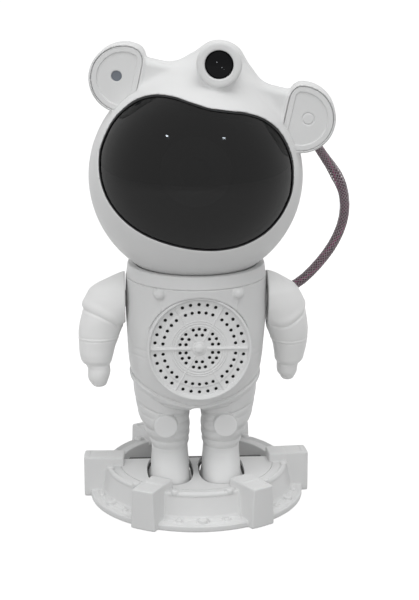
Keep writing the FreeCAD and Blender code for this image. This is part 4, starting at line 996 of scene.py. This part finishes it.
def make_star_eye():
    """Black window with the small lenses seen behind it."""
    glass_profile = rounded([(0.2, -1.2, 0), (6.45, -1.2, 0.1), (6.45, 0.2, 0.45),
                             (5.4, 0.75, 0.5), (0.2, 1.0, 0)])
    window = lathe("star_glass", glass_profile, "black_glass", "head", along_head(0, -25.6, EYE_UP))
    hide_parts("star_window")
    spots = ((-3.3, 2.9), (3.4, 2.9), (-4.4, -0.2), (4.3, -0.1), (-3.6, -3.9), (3.7, -3.9),
             (-1.2, 0.9), (1.5, -1.0), (2.6, -1.6))
    bead = rounded([(0.03, 0.0, 0), (0.4, 0.0, 0.05), (0.3, 0.2, 0.1), (0.03, 0.27, 0)])
    for index, (x, z) in enumerate(spots):
        height = -26.35 + 0.015 * (x * x + z * z)
        lathe("star_lens_%d" % index, bead, "clear_lens", "head",
              along_head(x, height, EYE_UP + z), 16)


# ---------- backpack

BUTTON_HOLES = (7.04, (85.5, 96.5), 3.7, 38)
SCREW_HOLES = (15.6, (73.0, 101.0), 2.15, 41.4)


def backpack_field(x, y, z):
    box = block(x, y, z, (-21, 10, 67), (21, 43, 107), 4.0)
    seam = both(slab(y, 33.6, 34.1), -box - 0.45, 0.05)
    pad = block(x, y, z, (-16.5, 42.0, 80.5), (16.5, 44, 101.5), 2.0)
    box = without(without(box, meet(pad, 42.6 - y), 0.2), seam, 0.1)
    ridge = meet(np.abs(np.abs(x) - 13) - 2.4, slab(z, 69.5, 77.5))
    box = either(box, both(ridge, y - 43.5, 0.4), 0.3)
    box = meet(box, 10 - y)
    for across, levels, radius, floor in (BUTTON_HOLES, SCREW_HOLES):
        for side in (-across, across):
            for level in levels:
                hole = length(x - side, z - level) - radius
                box = without(box, meet(hole, floor - y), 0.2)
    port = block(x, y, z, (-4.7, 36.9, 60), (4.7, 40.5, 72), 0.3)
    return meet(without(box, port, 0.3), -(torso_column(x, y, z) - 0.05))


def make_backpack():
    pack = skin("backpack_shell", backpack_field, (-22, 8, 66), (22, 44.5, 108), 0.5)
    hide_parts("backpack")


# ---------- hose

HOSE_ROUTE = [(25.0, 31.5, 94.0), (38.0, 32.5, 93.0), (52.5, 31.5, 98.0), (63.5, 29.5, 109.5),
              (71.6, 27.3, 122.0), (75.6, 25.0, 135.0), (74.8, 22.5, 148.0), (69.2, 20.0, 159.0),
              (62.0, 16.0, 169.0), (56.5, 9.5, 177.5), (52.8, 1.0, 183.5)]
HOSE_RADIUS = 2.5
HOSE_CUTS = (0.0, 0.34, 0.67, 1.0)
STRANDS = 9
LAY = 17.0
WIRE_LAY = 62.0
WIRE_STARTS = (0.3, 2.6)
WIRE_REACH = 1.75
WIRE_RADIUS = 0.42
FAT_FROM_EAR = 39.0


def route_line(route):
    """Centreline of the hose in mm, read from one open NURBS spline."""
    curve = bpy.data.curves.new("hose_route", "CURVE")
    curve.dimensions = "3D"
    spline = curve.splines.new("NURBS")
    spline.points.add(len(route) - 1)
    for point, spot in zip(spline.points, route):
        point.co = (*in_metres(*spot), 1)
    spline.order_u = 3
    spline.use_endpoint_u = True
    curve.resolution_u = 24
    holder = bpy.data.objects.new("hose_route", curve)
    mesh = bpy.data.meshes.new_from_object(holder)
    line = np.array([v.co for v in mesh.vertices], float) / MM
    bpy.data.meshes.remove(mesh)
    bpy.data.curves.remove(curve)
    return line


def even(line, step):
    """The line again with points a step apart, and how far along each is."""
    along = np.concatenate([[0], np.cumsum(np.linalg.norm(np.diff(line, axis=0), axis=1))])
    at = np.linspace(0, along[-1], int(round(along[-1] / step)) + 1)
    return np.stack([np.interp(at, along, line[:, k]) for k in range(3)], axis=1), at


def frames_along(line):
    """Two directions across the line at each point, without twist."""
    along = unit(np.gradient(line, axis=0))
    sides = [unit(np.cross(along[0], (0, 0, 1)))]
    for direction in along[1:]:
        sides.append(unit(sides[-1] - direction * (sides[-1] @ direction)))
    sides = np.array(sides)
    return sides, np.cross(along, sides)


def sweep(centres, normals, along, half_wide, half_thick):
    """Points and faces of a flat strand with four corners at each centre."""
    across = np.cross(along, normals)
    corners = [centres + across * half_wide * a + normals * half_thick * b
               for a, b in ((-1, -1), (1, -1), (1, 1), (-1, 1))]
    return np.stack(corners, axis=1).reshape(-1, 3), ring_faces(len(centres), 4)


def round_tube(line, radius, sides=16):
    """Points and faces of a round tube along a line, capped."""
    side, up = frames_along(line)
    angles = np.arange(sides) * 2 * math.pi / sides
    points = (line[:, None] + radius * (np.cos(angles)[None, :, None] * side[:, None]
                                        + np.sin(angles)[None, :, None] * up[:, None]))
    return points.reshape(-1, 3), ring_faces(len(line), sides)


def join(parts):
    """Several (points, faces) as one."""
    points, faces, start = [], [], 0
    for part_points, part_faces in parts:
        points.append(part_points)
        faces += [tuple(start + index for index in face) for face in part_faces]
        start += len(part_points)
    return np.concatenate(points), faces


def swell(at):
    """Thickness of the loose sleeve along the hose, as a share of its usual radius."""
    fat = at[-1] - FAT_FROM_EAR
    return 1 + 0.22 * groove(at - fat, 7.0) - 0.1 * groove(at - fat - 20, 8.0)


def wound(line, angle, reach):
    """A strand wound round the hose: its directions outwards and its centres."""
    side, up = frames_along(line)
    normal = np.cos(angle)[:, None] * side + np.sin(angle)[:, None] * up
    return normal, line + reach[:, None] * normal


def braid(line, at, low, high):
    """Woven sleeve between two distances along the hose."""
    parts = []
    chosen = (at >= low) & (at <= high)
    turn = 2 * math.pi * at / LAY
    for way in (1, -1):
        radius = (HOSE_RADIUS - 0.2 + 0.09 * way * np.cos(STRANDS * turn)) * swell(at)
        for index in range(STRANDS):
            angle = 2 * math.pi * index / STRANDS + way * turn
            normal, centres = wound(line, angle, radius)
            tangent = unit(np.gradient(centres, axis=0))
            parts.append(sweep(centres[chosen], normal[chosen], tangent[chosen], 0.2, 0.09))
    return join(parts)


def make_hose():
    """Braided sleeve over its wires, in three lengths."""
    line, at = even(route_line(HOSE_ROUTE), 0.8)
    cuts = at[-1] * np.array(HOSE_CUTS)
    joints = (("base", "neck"), ("neck", "slide"), ("slide", "head"))
    for index, (lower, upper) in enumerate(joints):
        low, high = cuts[index], cuts[index + 1]
        inside = (at >= low - 0.01) & (at <= high + 0.5)
        part = line[inside]
        points, faces = braid(line, at, low - 0.4, high + 0.4)
        sleeve = mesh_piece("hose_sleeve_%d" % index, points, faces, "braid", None)
        core = mesh_piece("hose_core_%d" % index, *round_tube(part, HOSE_RADIUS - 0.55),
                          "dark_plastic", None)
        paint(core, WIRE_WINE)
        red = mesh_piece("hose_wires_%d" % index, *wires(line, at, inside), "dark_plastic", None)
        paint(red, WIRE_RED)
        for piece in (sleeve, core, red):
            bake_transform(piece)
        if index == 0:
            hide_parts("hose")


def wires(line, at, inside):
    """Two magenta wires that lie just under the sleeve."""
    parts = []
    for start in WIRE_STARTS:
        _, centres = wound(line, start + 2 * math.pi * at / WIRE_LAY, WIRE_REACH * swell(at))
        parts.append(round_tube(centres[inside], WIRE_RADIUS, 8))
    return join(parts)


WIRE_RED = plastic("magenta_wire", (0.42, 0.04, 0.2), 0.4, 0.02)
WIRE_WINE = thread("wine_wires", (0.02, 0.016, 0.02), (0.2, 0.03, 0.1))


# ---------- carried-over nodes

NODE_FINISH = {
    SHELL: ("stand_deck", "stand_cover", "neck_seat", "head_gland"),
    # boot_mat: black sheet under the deck, painted shade that makes the boot slots read as deep
    # black.
    "black_seal": ("boot_mat",),
    "foam": ("foam_pad",),
    "low_friction": ("slide_ring",),
    "receiver": ("receiver_window",),
    "dark_plastic": ("engine_bracket", "speaker_basket", "body_gland"),
    "heat_sink": ("engine_barrel", "heat_sink", "laser_holder"),
    "clear_lens": ("projection_lens",),
    "nebula_film": ("nebula_disc",),
    "magnet": ("neck_magnet", "speaker_magnet"),
    "circuit_board": ("lamp_board", "head_board", "control_board"),
    "cone_paper": ("speaker_cone",),
    "grey_keys": ("button_power", "button_light", "button_volume_down", "button_volume_up"),
    "steel": ("boot_screws", "motor_shaft", "disc_motor", "laser_module", "seat_plate",
              "shoulder_clip_right", "shoulder_clip_left", "pack_screws", "usb_port"),
}


def dress_nodes():
    for slot, names in NODE_FINISH.items():
        for name in names:
            paint(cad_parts[name], FINISH[slot])


# ---------- stage and light

FLOOR_GLOW = 0.82
LIGHT_FROM_WORLD = 0.48
LAMP_AIM = (0, 0, 0.12)


def seen_share(tree):
    """1 where the camera, a reflection or a clear piece looks, and 0 where light falls."""
    path = tree.nodes.new("ShaderNodeLightPath")
    share = path.outputs["Is Camera Ray"]
    for other in ("Is Glossy Ray", "Is Transmission Ray"):
        most = tree.nodes.new("ShaderNodeMath")
        most.operation = "MAXIMUM"
        tree.links.new(share, most.inputs[0])
        tree.links.new(path.outputs[other], most.inputs[1])
        share = most.outputs[0]
    return share


def make_stage():
    """Pale floor that keeps the shadow, under a white world."""
    made = Nodes("studio_floor")
    made.set(Base_Color=(0.4, 0.4, 0.4, 1), Roughness=0.9, Emission_Color=(1, 1, 1, 1))
    glow = made.add("ShaderNodeMath", operation="MULTIPLY")
    glow.inputs[1].default_value = FLOOR_GLOW
    made.link(seen_share(made.tree), glow.inputs[0])
    made.feed("Emission Strength", glow.outputs[0])
    half = 6.0
    mesh = bpy.data.meshes.new("floor")
    mesh.from_pydata([(-half, -half, 0), (half, -half, 0), (half, half, 0), (-half, half, 0)],
                     [], [(0, 1, 2, 3)])
    mesh.materials.append(made.material)
    floor = add_object("floor", mesh)


def make_world():
    """White to the camera and in reflections, softer as a light on the object."""
    world = bpy.data.worlds.new("studio")
    bpy.context.scene.world = world
    world.use_nodes = True
    tree = world.node_tree
    tree.nodes.clear()
    out = tree.nodes.new("ShaderNodeOutputWorld")
    mix = tree.nodes.new("ShaderNodeMixShader")
    for socket, strength in ((1, LIGHT_FROM_WORLD), (2, 1.0)):
        light = tree.nodes.new("ShaderNodeBackground")
        light.inputs["Color"].default_value = (1, 1, 1, 1)
        light.inputs["Strength"].default_value = strength
        tree.links.new(light.outputs[0], mix.inputs[socket])
    tree.links.new(seen_share(tree), mix.inputs[0])
    tree.links.new(mix.outputs[0], out.inputs[0])


def add_lamp(name, kind, spot, watts):
    data = bpy.data.lights.new(name, kind)
    data.energy = watts
    lamp = add_object(name, data)
    lamp.location = spot
    return lamp


def make_softbox(name, spot, size, watts):
    """Broad soft lamp that reflections don't show."""
    lamp = add_lamp(name, "AREA", spot, watts)
    lamp.data.shape = "RECTANGLE"
    lamp.data.size, lamp.data.size_y = size
    lamp.rotation_euler = (Vector(LAMP_AIM) - Vector(spot)).to_track_quat("-Z", "Y").to_euler()
    lamp.visible_glossy = False


def make_spark(name, spot, watts):
    """Small round lamp whose mirror image is a highlight on the visor."""
    lamp = add_lamp(name, "POINT", spot, watts)
    lamp.data.shadow_soft_size = 0.026
    lamp.data.color = (0.82, 0.92, 1.0)


def make_lights():
    make_softbox("top_light", (0.15, -0.35, 1.4), (1.1, 0.9), 8.0)
    make_softbox("side_light", (-1.1, -0.7, 0.75), (0.7, 0.7), 2.5)
    make_softbox("front_light", (-0.05, -1.5, 0.45), (0.9, 0.7), 3.2)
    make_spark("spark_left", (-0.607, -0.576, 1.082), 1.2)
    make_spark("spark_right", (0.547, -0.673, 1.054), 0.9)


make_hose()
make_stand()
make_legs()
make_torso()
make_collar()
make_arms()
make_speaker()
make_helmet()
make_visor()
make_seal()
make_ears()
make_star_eye()
make_backpack()
dress_nodes()
make_stage()
make_world()
make_lights()
